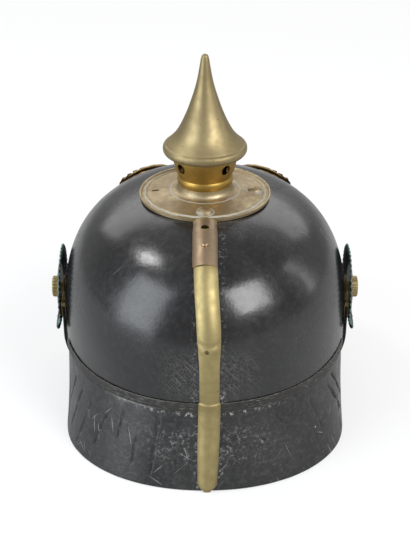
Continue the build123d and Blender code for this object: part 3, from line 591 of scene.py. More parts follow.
def make_lacquered(name, wear, rough, cover, scratch_share, scuffs_and_sheen):
    """Black lacquered leather, crazed and scratched, with pale scuffing beside the spine and at the seam, and
    on the visor a painted sheen: a pale patch that paints in a soft lamp's reflection.
    """
    material, tree, shader = finish(name)
    cloud = use(tree, mottle, Scale=26.0, Contrast=0.35)
    fine_cloud = use(tree, mottle, Scale=190.0, Contrast=0.3)
    cracks = use(tree, crackle, Scale=330.0, Width=0.06, Cover=cover)
    wide_cracks = use(tree, crackle, Scale=120.0, Width=0.022, Cover=cover * 0.9)
    beside = use(tree, rear_region, Near=0.012, Reach=0.040, Low=0.050, High=0.098, Soft=0.020)
    crazing = times(tree, use(tree, crackle, Scale=420.0, Width=0.10, Cover=0.75), beside)
    steep = scratched(tree, 0.30, 800.0, 44.0, 0.12, 0.16 + 0.06 * wear, scratch_share)
    slanted = scratched(tree, -0.70, 900.0, 34.0, 0.12, 0.12, scratch_share)
    crossing = scratched(tree, 1.05, 800.0, 36.0, 0.12, 0.06 * wear, scratch_share)
    rubs = times(tree, scratched(tree, 0.72, 1300.0, 30.0, 0.20, 0.75, 0.70), beside)
    chips = use(tree, specks, Scale=130.0, Size=0.10, Share=0.03 * wear)
    edges = use(tree, worn_edges, Radius=0.0009, Wear=0.35 + 0.3 * wear)
    marks = most(tree, most(tree, steep, slanted), most(tree, crossing, chips))
    crumb_cover = window(tree, rough_noise(tree, 420.0, 5.0, 0.75), 0.53, 0.62)
    # Pale regions beside the spine and at the seam; on the visor one region is a painted sheen standing for a
    # lamp's reflection
    scuffed_and_sheen = 0.0
    for near, reach, low, high, soft, strength in scuffs_and_sheen:
        region = use(tree, rear_region, Near=near, Reach=reach, Low=low, High=high, Soft=soft)
        scuff_and_sheen = times(tree, times(tree, region, crumb_cover), strength)
        scuffed_and_sheen = most(tree, scuffed_and_sheen, scuff_and_sheen)
    texture = window(tree, rough_noise(tree, 320.0, 6.0, 0.8), 0.44, 0.72)
    tone = blend_colours(tree, cloud, (0.0060, 0.0060, 0.0066, 1), (0.0130, 0.0130, 0.0138, 1))
    tone = lay(tree, tone, texture, 0.10 + 0.30 * wear, (0.085, 0.085, 0.088, 1))
    tone = lay(tree, tone, most(tree, cracks, wide_cracks), 0.5, (0.045, 0.042, 0.038, 1))
    rubbed = most(tree, rubs, times(tree, crazing, 0.35))
    tone = lay(tree, tone, rubbed, 0.6, (0.24, 0.235, 0.225, 1))
    tone = lay(tree, tone, marks, 0.85, (0.42, 0.41, 0.39, 1))
    tone = lay(tree, tone, edges, 0.35, (0.14, 0.13, 0.115, 1))
    # Lay the pale scuffing; on the visor this also lays the painted sheen of reflected lamp light
    tone = blend_colours(tree, scuffed_and_sheen, tone, (0.46, 0.45, 0.43, 1))
    base_rough = plus(tree, times(tree, cloud, 0.10), rough)
    base_rough = plus(tree, base_rough, times(tree, fine_cloud, 0.07))
    base_rough = plus(tree, base_rough, times(tree, most(tree, marks, scuffed_and_sheen), 0.3), clamp=True)
    under = raise_surface(tree, use(tree, grain, Scale=620.0), 0.00006, 0.5 + 0.4 * wear)
    under = raise_surface(tree, cracks, -0.00005, 0.5, under)
    under = raise_surface(tree, wide_cracks, -0.00010, 0.6, under)
    under = raise_surface(tree, most(tree, marks, rubs), -0.00006, 0.5, under)
    feed(tree, shader, Base_Color=tone, Roughness=base_rough, Normal=under)
    feed(tree, shader, Specular_IOR_Level=0.55, Coat_Weight=0.15, Coat_Roughness=0.16)
    return material


def make_brass(name, bright, dull, rough, cloud_scale, turned, residue=0.0, brown=0.25, lines=0.0):
    """Old brass, polished on its edges and browned in cloudy patches."""
    material, tree, shader = finish(name)
    cloud = use(tree, mottle, Scale=cloud_scale, Contrast=0.4)
    fine_cloud = use(tree, mottle, Scale=cloud_scale * 7, Contrast=0.35)
    spots = use(tree, specks, Scale=380.0, Size=0.24, Share=0.10)
    edges = use(tree, worn_edges, Radius=0.0007, Wear=0.75)
    tone = blend_colours(tree, cloud, (*bright, 1), (*dull, 1))
    tone = lay(tree, tone, fine_cloud, brown, shade(dull, 0.55))
    tone = lay(tree, tone, spots, 0.5, (0.09, 0.065, 0.035, 1))
    tone = lay(tree, tone, edges, 0.5, shade(bright, 1.45))
    roughness = plus(tree, times(tree, cloud, 0.12), rough)
    roughness = plus(tree, roughness, times(tree, fine_cloud, 0.08), clamp=True)
    metal = 1.0
    if lines:
        polish = use(tree, residue_lines, Cover=lines)
        tone = lay(tree, tone, polish, 0.8, (0.56, 0.55, 0.50, 1))
        metal = minus(tree, 1.0, times(tree, polish, 0.85))
        roughness = plus(tree, roughness, times(tree, polish, 0.3), clamp=True)
    if residue:
        crust = use(tree, crackle, Scale=95.0, Width=0.30, Cover=residue)
        tone = lay(tree, tone, crust, 0.65, (0.52, 0.50, 0.44, 1))
        metal = minus(tree, 1.0, times(tree, crust, 0.8))
        roughness = plus(tree, roughness, times(tree, crust, 0.3), clamp=True)
    under = raise_surface(tree, fine_cloud, 0.00002, 0.4)
    if turned:
        under = raise_surface(tree, use(tree, turning_marks, Scale=900.0), 0.00003, 0.35, under)
    else:
        brushed = scratched(tree, 0.4, 1600.0, 16.0, 0.2, 0.6, 0.7)
        under = raise_surface(tree, brushed, -0.00002, 0.3, under)
    feed(tree, shader, Base_Color=tone, Roughness=roughness, Metallic=metal, Normal=under)
    return material


SHELL_SCUFFS = ((0.0072, 0.0125, 0.048, 0.068, 0.008, 0.75), (0.0085, 0.0115, 0.068, 0.150, 0.010, 0.18))
# Pale regions of the visor: scuffing beside the spine, polish residue along the seam, and a painted sheen, a
# broad pale patch over the rear middle that paints in the left softbox's reflection
VISOR_SCUFFS_AND_SHEEN = (
    (0.0066, 0.0100, 0.000, 0.052, 0.004, 0.60),
    (0.020, 0.075, 0.0460, 0.0500, 0.0018, 0.60),
    # Painted sheen: a pale patch standing for a lamp's reflection
    (0.016, 0.052, 0.012, 0.044, 0.010, 0.26),
)
shell_lacquer = make_lacquered("shell_lacquer", 0.25, 0.16, 0.40, 0.40, SHELL_SCUFFS)
visor_lacquer = make_lacquered("visor_lacquer", 1.0, 0.24, 0.50, 0.58, VISOR_SCUFFS_AND_SHEEN)
spun_brass = make_brass("spun_brass", (0.355, 0.29, 0.155), (0.27, 0.21, 0.11), 0.42, 22.0, True)
neck_brass = make_brass("neck_brass", (0.42, 0.275, 0.07), (0.30, 0.185, 0.045), 0.36, 28.0, True)
plate_brass = make_brass(
    "plate_brass", (0.43, 0.35, 0.215), (0.33, 0.255, 0.155), 0.42, 34.0, True, 0.30, 0.3, 0.72,
)
spine_brass = make_brass("spine_brass", (0.43, 0.355, 0.17), (0.34, 0.275, 0.13), 0.46, 26.0, False)
slider_brass = make_brass("slider_brass", (0.42, 0.32, 0.21), (0.33, 0.235, 0.155), 0.36, 40.0, False, 0.30)
eagle_brass = make_brass(
    "eagle_brass", (0.52, 0.37, 0.16), (0.30, 0.20, 0.09), 0.30, 60.0, False, 0.0, 0.45,
)
dark_brass = make_brass(
    "dark_brass", (0.20, 0.155, 0.08), (0.11, 0.085, 0.045), 0.42, 90.0, False, 0.0, 0.5,
)
fitting_brass = make_brass(
    "fitting_brass", (0.42, 0.33, 0.15), (0.27, 0.21, 0.10), 0.34, 60.0, False, 0.25, 0.35,
)


def make_seam_leather():
    """Black rolled leather edge, rubbed grey-brown."""
    material, tree, shader = finish("seam_leather")
    cloud = use(tree, mottle, Scale=160.0, Contrast=0.4)
    rub = scratched(tree, 1.45, 1400.0, 8.0, 0.3, 0.5, 0.6)
    edges = use(tree, worn_edges, Radius=0.0006, Wear=0.62)
    tone = blend_colours(tree, cloud, (0.010, 0.0095, 0.009, 1), (0.028, 0.026, 0.023, 1))
    tone = lay(tree, tone, rub, 0.55, (0.26, 0.25, 0.23, 1))
    tone = lay(tree, tone, edges, 0.7, (0.34, 0.325, 0.29, 1))
    under = raise_surface(tree, use(tree, grain, Scale=1500.0), 0.00008, 0.6)
    roughness = plus(tree, times(tree, cloud, 0.2), 0.38)
    feed(tree, shader, Base_Color=tone, Roughness=roughness, Normal=under)
    return material


def make_plain_leather(name, light, dark, rough, edge_tone):
    """Leather without lacquer, darkened by handling."""
    material, tree, shader = finish(name)
    cloud = use(tree, mottle, Scale=32.0, Contrast=0.5)
    fine_cloud = use(tree, mottle, Scale=210.0, Contrast=0.4)
    creases = use(tree, crackle, Scale=210.0, Width=0.05, Cover=0.55)
    edges = use(tree, worn_edges, Radius=0.0007, Wear=0.6)
    tone = blend_colours(tree, cloud, (*light, 1), (*dark, 1))
    tone = lay(tree, tone, fine_cloud, 0.3, shade(dark, 0.6))
    tone = lay(tree, tone, creases, 0.5, shade(dark, 0.4))
    tone = lay(tree, tone, edges, 0.5, (*edge_tone, 1))
    under = raise_surface(tree, use(tree, grain, Scale=1100.0), 0.00010, 0.6)
    under = raise_surface(tree, creases, -0.00012, 0.6, under)
    roughness = plus(tree, times(tree, fine_cloud, 0.15), rough)
    feed(tree, shader, Base_Color=tone, Roughness=roughness, Normal=under)
    return material


def make_thread(name, light, dark):
    """Waxed linen thread or cotton cord."""
    material, tree, shader = finish(name)
    fine_cloud = use(tree, mottle, Scale=420.0, Contrast=0.5)
    cloud = use(tree, mottle, Scale=45.0, Contrast=0.5)
    tone = blend_colours(tree, fine_cloud, (*light, 1), (*dark, 1))
    tone = lay(tree, tone, cloud, 0.35, shade(dark, 0.6))
    under = raise_surface(tree, use(tree, grain, Scale=2600.0), 0.00006, 0.6)
    roughness = plus(tree, times(tree, fine_cloud, 0.2), 0.62)
    feed(tree, shader, Base_Color=tone, Roughness=roughness, Normal=under)
    return material


def make_cockade_metal():
    """Black painted tin, chipped, with green corrosion on its flutes."""
    material, tree, shader = finish("cockade_metal")
    cloud = use(tree, mottle, Scale=75.0, Contrast=0.35)
    fine_cloud = use(tree, mottle, Scale=420.0, Contrast=0.3)
    edges = use(tree, worn_edges, Radius=0.0006, Wear=0.6)
    place = put(tree, "ShaderNodeTexCoord").outputs["Object"]
    parts = put(tree, "ShaderNodeSeparateXYZ", {0: place})
    up = maths(tree, "POWER", minus(tree, parts.outputs["Z"], 0.077), 2.0)
    along = maths(tree, "POWER", parts.outputs["Y"], 2.0)
    radius = maths(tree, "SQRT", plus(tree, up, along))
    rim = window(tree, radius, 0.0225, 0.0265)
    green = times(tree, rim, plus(tree, times(tree, cloud, 0.75), 0.2), clamp=True)
    tone = blend_colours(tree, fine_cloud, (0.011, 0.011, 0.011, 1), (0.030, 0.028, 0.025, 1))
    verdigris = blend_colours(tree, fine_cloud, (0.085, 0.20, 0.19, 1), (0.17, 0.30, 0.27, 1))
    tone = blend_colours(tree, green, tone, verdigris)
    tone = lay(tree, tone, edges, 0.6, (0.33, 0.31, 0.27, 1))
    under = raise_surface(tree, fine_cloud, 0.00008, 0.7)
    roughness = plus(tree, times(tree, green, 0.35), 0.38)
    feed(tree, shader, Base_Color=tone, Roughness=roughness, Normal=under)
    return material


def make_iron():
    """Dull iron with brown rust."""
    material, tree, shader = finish("old_iron")
    cloud = use(tree, mottle, Scale=150.0, Contrast=0.3)
    fine_cloud = use(tree, mottle, Scale=800.0, Contrast=0.4)
    rust = times(tree, cloud, 0.7)
    tone = blend_colours(tree, fine_cloud, (0.22, 0.21, 0.20, 1), (0.14, 0.13, 0.12, 1))
    tone = blend_colours(tree, rust, tone, (0.12, 0.052, 0.022, 1))
    roughness = plus(tree, times(tree, cloud, 0.3), 0.42)
    metal = minus(tree, 1.0, rust)
    under = raise_surface(tree, fine_cloud, 0.00006, 0.6)
    feed(tree, shader, Base_Color=tone, Roughness=roughness, Metallic=metal, Normal=under)
    return material


seam_leather = make_seam_leather()
liner_leather = make_plain_leather(
    "liner_leather", (0.30, 0.175, 0.085), (0.17, 0.088, 0.040), 0.52, (0.38, 0.25, 0.14),
)
strap_leather = make_plain_leather(
    "strap_leather", (0.030, 0.024, 0.019), (0.014, 0.012, 0.010), 0.36, (0.16, 0.105, 0.06),
)
washer_leather = make_plain_leather(
    "washer_leather", (0.22, 0.14, 0.07), (0.12, 0.07, 0.035), 0.6, (0.30, 0.20, 0.12),
)
dark_thread = make_thread("dark_thread", (0.075, 0.065, 0.052), (0.030, 0.026, 0.022))
cotton_cord = make_thread("cotton_cord", (0.52, 0.46, 0.35), (0.34, 0.28, 0.19))
cockade_metal = make_cockade_metal()
old_iron = make_iron()

finishes = {
    shell_lacquer: ("shell",),
    visor_lacquer: ("rear_visor", "front_visor"),
    seam_leather: ("rear_seam_band", "front_seam_band"),
    neck_brass: ("neck_ring", "bayonet_ring"),
    plate_brass: ("base_plate", "base_plate_studs", "front_plate", "front_plate_loops", "front_plate_pins"),
    spine_brass: ("rear_spine", "spine_rivet", "front_visor_trim"),
    slider_brass: ("spine_slider", "slider_stud"),
    fitting_brass: (
        "left_knob", "right_knob", "left_rosette", "right_rosette", "left_side_post", "right_side_post",
        "left_strap_lug", "right_strap_lug", "left_strap_slide", "right_strap_slide", "strap_rivets",
    ),
    cockade_metal: ("left_cockade", "right_cockade"),
    liner_leather: ("liner",),
    strap_leather: ("chinstrap",),
    cotton_cord: ("drawstring",),
    washer_leather: ("stud_washers", "left_post_washer", "right_post_washer"),
    old_iron: ("left_post_nut", "right_post_nut", "spine_rivet_washer"),
}
for material, names in finishes.items():
    for name in names:
        for place in range(len(nodes[name].data.materials)):
            nodes[name].data.materials[place] = material


# Round drills through the crown, about the middle of its arc

CROWN_MIDDLE = Vector((0, 0.030, 0.0504))
CROWN_ARC = 0.0956
SPINE_ARC = 0.0990
VENT_ANGLE = 12.9
VENT_RADIUS = 0.0026
SLIDER_HOLE_ANGLE = 14.3
SLIDER_STUD_ANGLE = 22.4
SLIDER_SLOT_ANGLE = 22.7


def crown_axis(turn):
    """Direction out of the crown, at a turn back from upright."""
    return Vector((0, math.sin(turn), math.cos(turn)))


def drill(name, angle, radius, vertices=28, out=SPINE_ARC):
    """Round drill at an angle back from upright and a distance out from the middle of the crown's arc."""
    turn = math.radians(angle)
    return start(
        name,
        bpy.ops.mesh.primitive_cylinder_add,
        vertices=vertices,
        radius=radius,
        depth=0.02,
        location=CROWN_MIDDLE + out * crown_axis(turn),
        rotation=(-turn, 0, 0),
    )


# The lacquered shell


def rim_height(along):
    """Height of the shell's wavy rim at a place along the helmet."""
    low, high = 0.0, 1.0
    for _ in range(24):
        share = (low + high) / 2
        rest = 1 - share
        reach = rest**3 + 3 * rest**2 * share * RIM_BEND + 3 * rest * share**2 * RIM_LEVEL
        if HALF_LENGTH * reach > abs(along):
            low = share
        else:
            high = share
    end = RIM_REAR if along > 0 else RIM_FRONT
    return RIM_SIDE + (end - RIM_SIDE) * (1 - share) ** 3


def dome_profile():
    """Half-width share and height of the shell, at equal steps from its equator to the crown's hole."""
    turns = np.linspace(0.0, math.pi / 2, 1200)
    widths = np.cos(turns) ** (2 / DOME_POWER)
    heights = np.sin(turns) ** (2 / DOME_POWER)
    kept = widths >= CROWN_HOLE_SHARE
    widths, heights = widths[kept], heights[kept]
    steps = np.hypot(np.diff(widths) * HALF_LENGTH, np.diff(heights) * (CROWN - EQUATOR))
    return np.concatenate(([0.0], np.cumsum(steps))), widths, heights


arc, arc_widths, arc_heights = dome_profile()
WALL_SHARE = 0.10
RINGS = 120
TOP_RING = RINGS // 2 - 1


def shell_point(corner):
    """Where a corner of a round ball lies on the shell's outer face."""
    turn = math.atan2(corner.y, corner.x)
    share = math.asin(min(1.0, max(0.0, corner.z))) / (math.pi / 2) * RINGS / 2 / TOP_RING
    if share < WALL_SHARE:
        width = 1.0
        foot = rim_height(HALF_LENGTH * math.sin(turn))
        height = foot + (EQUATOR - foot) * share / WALL_SHARE
    else:
        reach = arc[-1] * (share - WALL_SHARE) / (1 - WALL_SHARE)
        width = float(np.interp(reach, arc, arc_widths))
        height = EQUATOR + (CROWN - EQUATOR) * float(np.interp(reach, arc, arc_heights))
    place = Vector((HALF_WIDTH * width * math.cos(turn), HALF_LENGTH * width * math.sin(turn), height))
    hollow = 0.00022 * (noise.noise(place * 26.0) - 0.6) + 0.00008 * noise.noise(place * 85.0)
    inward = Vector((place.x, place.y, 0.5 * (place.z - 0.05))).normalized()
    return place + inward * min(0.0, hollow)


shell = start(
    "lacquered_shell", bpy.ops.mesh.primitive_uv_sphere_add, segments=224, ring_count=RINGS, radius=1,
)
top_height = math.sin(math.pi / 2 * (TOP_RING + 0.5) / (RINGS / 2))
pick(shell, "VERT", lambda corner: corner.co.z < -0.001 or corner.co.z > top_height)
bpy.ops.mesh.delete(type="VERT")
put_down()
shape(shell, shell_point)
modify(shell, "SOLIDIFY", thickness=SHELL_WALL, offset=-1, use_even_offset=True)
vent_drill = drill("vent_drill", VENT_ANGLE, VENT_RADIUS, 32, CROWN_ARC)
slit_drill = start(
    "slit_drill",
    bpy.ops.mesh.primitive_cube_add,
    size=1,
    location=(STUD_CIRCLE, 0, 0.144),
    scale=(0.0046, 0.002, 0.02),
)
cut(shell, vent_drill, slit_drill)
soften(shell, 50)
fit(shell, "helmet", "shell_leather", shell_lacquer, "shell")


# The two visors


def oval_radius(angle):
    """Distance from the axis to the shell's outer face at the rim, in degrees from +X."""
    turn = math.radians(angle)
    return 1 / math.hypot(math.cos(turn) / HALF_WIDTH, math.sin(turn) / HALF_LENGTH)


def smooth_line(points):
    """Natural cubic line through points, as a function of a share from 0 to 1."""
    points = np.array(points, float)
    knots = lengths_along(points)
    knots /= knots[-1]
    gaps = np.diff(knots)
    count = len(knots)
    matrix = np.eye(count)
    sides = np.zeros((count, 2))
    for i in range(1, count - 1):
        matrix[i, i - 1 : i + 2] = gaps[i - 1], 2 * (gaps[i - 1] + gaps[i]), gaps[i]
        slopes = (points[i + 1] - points[i]) / gaps[i] - (points[i] - points[i - 1]) / gaps[i - 1]
        sides[i] = 6 * slopes
    bends = np.linalg.solve(matrix, sides)

    def at(share):
        i = min(count - 2, max(0, int(np.searchsorted(knots, share, "right")) - 1))
        after, before = share - knots[i], knots[i + 1] - share
        line = points[i] * before / gaps[i] + points[i + 1] * after / gaps[i]
        curve = bends[i] * (before**3 / gaps[i] - before * gaps[i])
        curve = curve + bends[i + 1] * (after**3 / gaps[i] - after * gaps[i])
        return line + curve / 6

    return at


def visor_line(flare, shares):
    """Line round one visor at one height, from one tip to the other, for the half towards +Y."""
    half = []
    for angle, share in zip(VISOR_ANGLES, shares):
        radius = oval_radius(angle) + flare * share
        half.append((radius * math.cos(math.radians(angle)), radius * math.sin(math.radians(angle))))
    return smooth_line(half + [(-x, y) for x, y in reversed(half[:-1])])


def free_edge_height(along, heel, foot):
    """Height of a visor's free edge at a place along the helmet."""
    if along <= VISOR_TIP:
        return RIM_SIDE
    if along >= heel:
        return foot
    low, high = 0.0, 1.0
    for _ in range(24):
        share = (low + high) / 2
        rest = 1 - share
        reach = (rest**3 + 3 * rest**2 * share) * VISOR_TIP
        reach += 3 * rest * share**2 * RIM_LEVEL * (VISOR_TIP + heel) + share**3 * heel
        if reach < along:
            low = share
        else:
            high = share
    return RIM_SIDE * (rest**3 + 3 * rest**2 * share * RIM_LEVEL) + foot * (3 * rest * share**2 + share**3)


def halve(test, low, high):
    """Where a test that holds at the low end stops holding."""
    for _ in range(26):
        middle = (low + high) / 2
        if test(middle):
            low = middle
        else:
            high = middle
    return low


class Visor:
    """Outer face of one visor, from a share of the way round and a share of the way down."""

    def __init__(self, side, flare, shares, heel, foot):
        self.side = side
        self.seam = (RIM_REAR if side > 0 else RIM_FRONT) + VISOR_LAP
        self.heel = heel
        self.foot = foot
        self.top = visor_line(0, shares)
        self.bottom = visor_line(flare, shares)
        self.tip = halve(lambda share: self.line(share, 0.15)[1] < VISOR_TIP, 0.0, 0.4)
        self.ends = {}

    def line(self, share, down):
        """Point on a straight line down the visor, as across, along and height."""
        high, low = self.top(share), self.bottom(share)
        place = high + (low - high) * down
        return place[0], place[1], self.seam * (1 - down)

    def inside(self, share, down):
        """Whether that point lies above the free edge."""
        _, along, height = self.line(share, down)
        return height > free_edge_height(along, self.heel, self.foot)

    def below_rim(self, share, down):
        """Whether that point still lies above the shell's rim."""
        _, along, height = self.line(share, down)
        return height > rim_height(self.side * along)

    def point(self, across, down):
        """Point on the outer face, with both shares from 0 to 1."""
        share = self.tip + (1 - 2 * self.tip) * across
        if share not in self.ends:
            high = halve(lambda step: self.below_rim(share, step), 0.0, 0.6)
            low = halve(lambda step: self.inside(share, step), high, 1.0)
            self.ends[share] = (high, low)
        high, low = self.ends[share]
        x, y, z = self.line(share, high + (low - high) * down)
        return Vector((x, self.side * y, z))

    def outward(self, across, down):
        """Direction straight out of the leather."""
        step = 0.004
        left = self.point(max(0.0, across - step), down)
        right = self.point(min(1.0, across + step), down)
        above, below = self.point(across, 0.0), self.point(across, 1.0)
        facing = (right - left).cross(below - above)
        if facing.length == 0:
            return Vector((left.x, 0, 0)).normalized()
        facing.normalize()
        return facing if facing.dot(Vector((left.x + right.x, left.y + right.y, 0))) > 0 else -facing


# A visor's length round the helmet and its reach down, for laying out its creases
VISOR_LENGTH = 0.33
VISOR_REACH = 0.046
# Creases of each visor: across and down at both ends, depth, half width
REAR_CREASES = (
    (0.045, 0.30, 0.085, 0.95, 0.40, 1.3), (0.105, 0.10, 0.070, 0.80, 0.30, 1.1),
    (0.155, 0.05, 0.120, 0.85, 0.42, 1.2), (0.200, 0.20, 0.165, 0.95, 0.34, 1.0),
    (0.255, 0.25, 0.225, 0.85, 0.36, 1.1), (0.300, 0.15, 0.290, 0.75, 0.22, 0.9),
    (0.345, 0.30, 0.335, 0.95, 0.26, 0.9), (0.392, 0.10, 0.382, 0.90, 0.34, 1.0),
    (0.430, 0.15, 0.440, 0.70, 0.26, 0.9), (0.560, 0.25, 0.640, 0.45, 0.30, 0.9),
    (0.585, 0.75, 0.640, 0.35, 0.26, 0.8), (0.655, 0.05, 0.735, 0.55, 0.30, 1.1),
    (0.690, 0.30, 0.720, 0.85, 0.24, 0.9), (0.770, 0.10, 0.800, 0.60, 0.22, 1.0),
    (0.850, 0.10, 0.925, 0.75, 0.45, 1.4), (0.880, 0.02, 0.960, 0.70, 0.40, 1.2),
    (0.905, 0.40, 0.890, 0.95, 0.24, 0.9),
)
FRONT_CREASES = (
    (0.12, 0.10, 0.10, 0.80, 0.30, 1.2), (0.22, 0.05, 0.26, 0.60, 0.26, 1.1),
    (0.36, 0.30, 0.42, 0.40, 0.22, 0.9), (0.60, 0.10, 0.56, 0.55, 0.24, 1.0),
    (0.72, 0.15, 0.75, 0.70, 0.28, 1.1), (0.87, 0.20, 0.90, 0.85, 0.30, 1.2),
)


def crease_depth(across, down, creases):
    """Depth of the creases at a place on a visor."""
    depth = 0.0
    for a0, d0, a1, d1, deep, half in creases:
        run = Vector(((a1 - a0) * VISOR_LENGTH, (d1 - d0) * VISOR_REACH))
        here = Vector(((across - a0) * VISOR_LENGTH, (down - d0) * VISOR_REACH))
        share = min(1.0, max(0.0, here.dot(run) / run.length_squared))
        wander = 0.0012 * noise.noise(Vector((a0 * 40, share * 4, 0.0)))
        apart = (here - run * share).length + wander
        ends = crowd(share / 0.15) * crowd((1 - share) / 0.15) if 0 < share < 1 else 0.0
        depth += 2.9 * deep * MM * ends * bump(apart, 0.50 * half * MM)
    return depth


def make_visor(name, side, line, creases, seed):
    """Creased leather visor in place of its solid."""
    face = Visor(side, *line)

    def place(corner):
        across, down = (corner.x + 1) / 2, (1 - corner.y) / 2
        point = face.point(across, down)
        sag = 0.00030 * (noise.noise(Vector((across * 9.0, down * 2.2, seed))) - 0.75)
        sag += 0.00010 * noise.noise(Vector((across * 40.0, down * 7.0, seed)))
        sag = min(0.0, sag) - crease_depth(across, down, creases)
        if side < 0:
            sag *= 1 - crowd((down - 0.66) / 0.16)
        return point + face.outward(across, down) * sag

    visor = make_sheet(name, 360, 44, place)
    face_towards(visor, (0, side, 0))
    wall = VISOR_WALL if side > 0 else VISOR_WALL - 0.0002
    modify(visor, "SOLIDIFY", thickness=wall, offset=-1, use_even_offset=True)
    round_edges(visor, 0.0006, 60)
    soften(visor, 50)
    fit(visor, "helmet", "shell_leather", visor_lacquer, name.removesuffix("_leather"))


rear_line = (REAR_FLARE, REAR_SHARES, REAR_HEEL, REAR_FOOT)
front_line = (FRONT_FLARE, FRONT_SHARES, FRONT_HEEL, FRONT_FOOT)
make_visor("rear_visor_leather", 1, rear_line, REAR_CREASES, 3.0)
make_visor("front_visor_leather", -1, front_line, FRONT_CREASES, 8.0)


# Stitched bands along the seams

BAND_WIDTH = 0.0062
BAND_THICKNESS = 0.0006
STITCH_STEP = 0.0024


def band_point(turn, up, proud):
    """Point on the band's face round the rim, at a height above the rim."""
    width, length = HALF_WIDTH + proud, HALF_LENGTH + proud
    place = Vector((width * math.cos(turn), length * math.sin(turn), 0))
    place.z = rim_height(place.y) + up
    return place


def make_band(side, name):
    """Leather band with a row of stitches along each edge."""
    band_length = HALF_LENGTH + BAND_THICKNESS
    tip_turn = math.asin((VISOR_TIP + 0.0002) / band_length)

    def turn_at(share):
        return side * (tip_turn + (math.pi - 2 * tip_turn) * share)

    def place(corner):
        share, up = (corner.x + 1) / 2, (corner.y + 1) / 2
        crown = 0.75 + 0.65 * abs(math.sin(2.0 * math.pi * up))
        crown -= 0.45 * bump(up - 0.2, 0.05)
        crown -= 0.45 * bump(up - 0.8, 0.05)
        crown += 0.30 * noise.noise(Vector((share * 160, up * 2, side)))
        edge = 0.00012 * noise.noise(Vector((share * 90, 7.0 * up, 2.0)))
        proud = 0.00008 + 0.00065 * max(0.15, crown)
        return band_point(turn_at(share), BAND_WIDTH * up + edge * (up - 0.5), proud)

    band = make_sheet(name + "_leather", 300, 12, place)
    face_towards(band, (0, side, 0))
    modify(band, "SOLIDIFY", thickness=0.0006, offset=-1)
    soften(band, 50)
    fit(band, "helmet", "seam_leather", seam_leather, name)

    stitch = make_stitch(name + "_stitch", (0.00078, 0.00026, 0.00026))
    span = math.pi * (HALF_WIDTH + HALF_LENGTH) / 2
    count = int(span / STITCH_STEP)
    places = []
    for row, up in enumerate((0.20, 0.80)):
        for index in range(count):
            share = (index + 0.5 * row + 0.5) / (count + 0.5)
            turn = turn_at(share)
            here = band_point(turn, BAND_WIDTH * up, 0.00050)
            ahead = band_point(turn + 0.002, BAND_WIDTH * up, 0.00050)
            out = Vector((math.cos(turn), math.sin(turn), 0))
            run = (ahead - here).normalized()
            places.append(stand(here, run, out, run.cross(out)))
    stitches = copies(stitch, places, name + "_stitches")
    soften(stitches, 80)
    fit(stitches, "helmet", "seam_leather", dark_thread)


make_band(1, "rear_seam_band")
make_band(-1, "front_seam_band")


# Spike and neck, spun from sheet


def lathe(name, profile, segments=128):
    """Turned piece from a line of radii and heights in millimetres, with the metal on the line's right."""
    rows = len(profile) - 1

    def place(corner):
        turn = math.pi * (corner.x + 1)
        radius, height = profile[round((corner.y + 1) / 2 * rows)]
        return Vector((radius * MM * math.cos(turn), radius * MM * math.sin(turn), height * MM))

    return make_sheet(name, segments, rows, place)


def even_steps(points, count):
    """Even steps on a smooth line through points."""
    line = smooth_line(points)
    return [tuple(line(share)) for share in np.linspace(0, 1, count)]


SPIKE_LIP = (
    (22.8, 175.6), (23.8, 174.4), (25.2, 174.3), (26.1, 175.1), (26.6, 176.4),
    (26.6, 177.7), (26.2, 179.0), (25.4, 179.9), (24.6, 180.35),
)
SPIKE_CONE = (
    (24.3, 180.75), (23.4, 181.6), (21.1, 183.9), (18.5, 187.0), (16.6, 190.1), (13.5, 196.3),
    (10.9, 202.5), (8.75, 208.6), (6.4, 216.0), (4.6, 223.3), (3.3, 230.7), (2.6, 235.0),
)
SPIKE_NOSE = ((2.4, 235.6), (2.05, 236.9), (1.3, 237.9), (0.5, 238.18), (0.0, 238.2))
spike_outside = even_steps(SPIKE_LIP, 26) + even_steps(SPIKE_CONE, 60) + even_steps(SPIKE_NOSE, 12)
spike = lathe("spun_spike", spike_outside)
spigot = lathe(
    "spike_spigot",
    [(22.8, 175.6), (13.8, 175.5), (13.8, 166.0), (13.8, 156.9), (12.8, 156.9), (12.8, 176.4)],
    64,
)
lug = start(
    "spike_lug",
    bpy.ops.mesh.primitive_cube_add,
    size=1,
    location=(0.0142, 0, 0.15785),
    scale=(0.0012, 0.005, 0.002),
)
modify(lug, "BEVEL", width=0.0002, segments=2)
lugs = copies(lug, [Matrix.Rotation(math.radians(120 * step), 4, "Z") for step in range(3)], "spike_lugs")
spike = join([spike, spigot, lugs], "spun_spike")
soften(spike, 45)
fit(spike, "spike_body", "spun_brass", spun_brass, "spike")

NECK_FLARE = (
    (17.22, 159.0), (17.5, 160.2), (18.3, 162.0), (19.15, 164.5),
    (19.9, 167.8), (20.55, 171.0), (20.8, 173.6),
)
NECK_VENT = 0.0033
NECK_VENT_HEIGHT = 0.1678
NECK_VENT_TURNS = (41.0, 131.0)
neck_outside = even_steps(NECK_FLARE, 22)
neck_line = neck_outside + [
    (21.0, 174.2), (22.2, 174.35), (22.4, 174.8), (22.2, 175.25), (20.6, 175.3), (19.9, 175.1),
]
neck_line += [(radius - 0.9, height) for radius, height in reversed(neck_outside)]
neck = lathe("spun_neck", neck_line + [neck_line[0]])


def vent_corner(corner):
    """Where a corner of a wide flat drum lies on the drill for a vent in the neck."""
    return Vector((NECK_VENT * corner.x, corner.y, NECK_VENT * corner.z + NECK_VENT_HEIGHT))


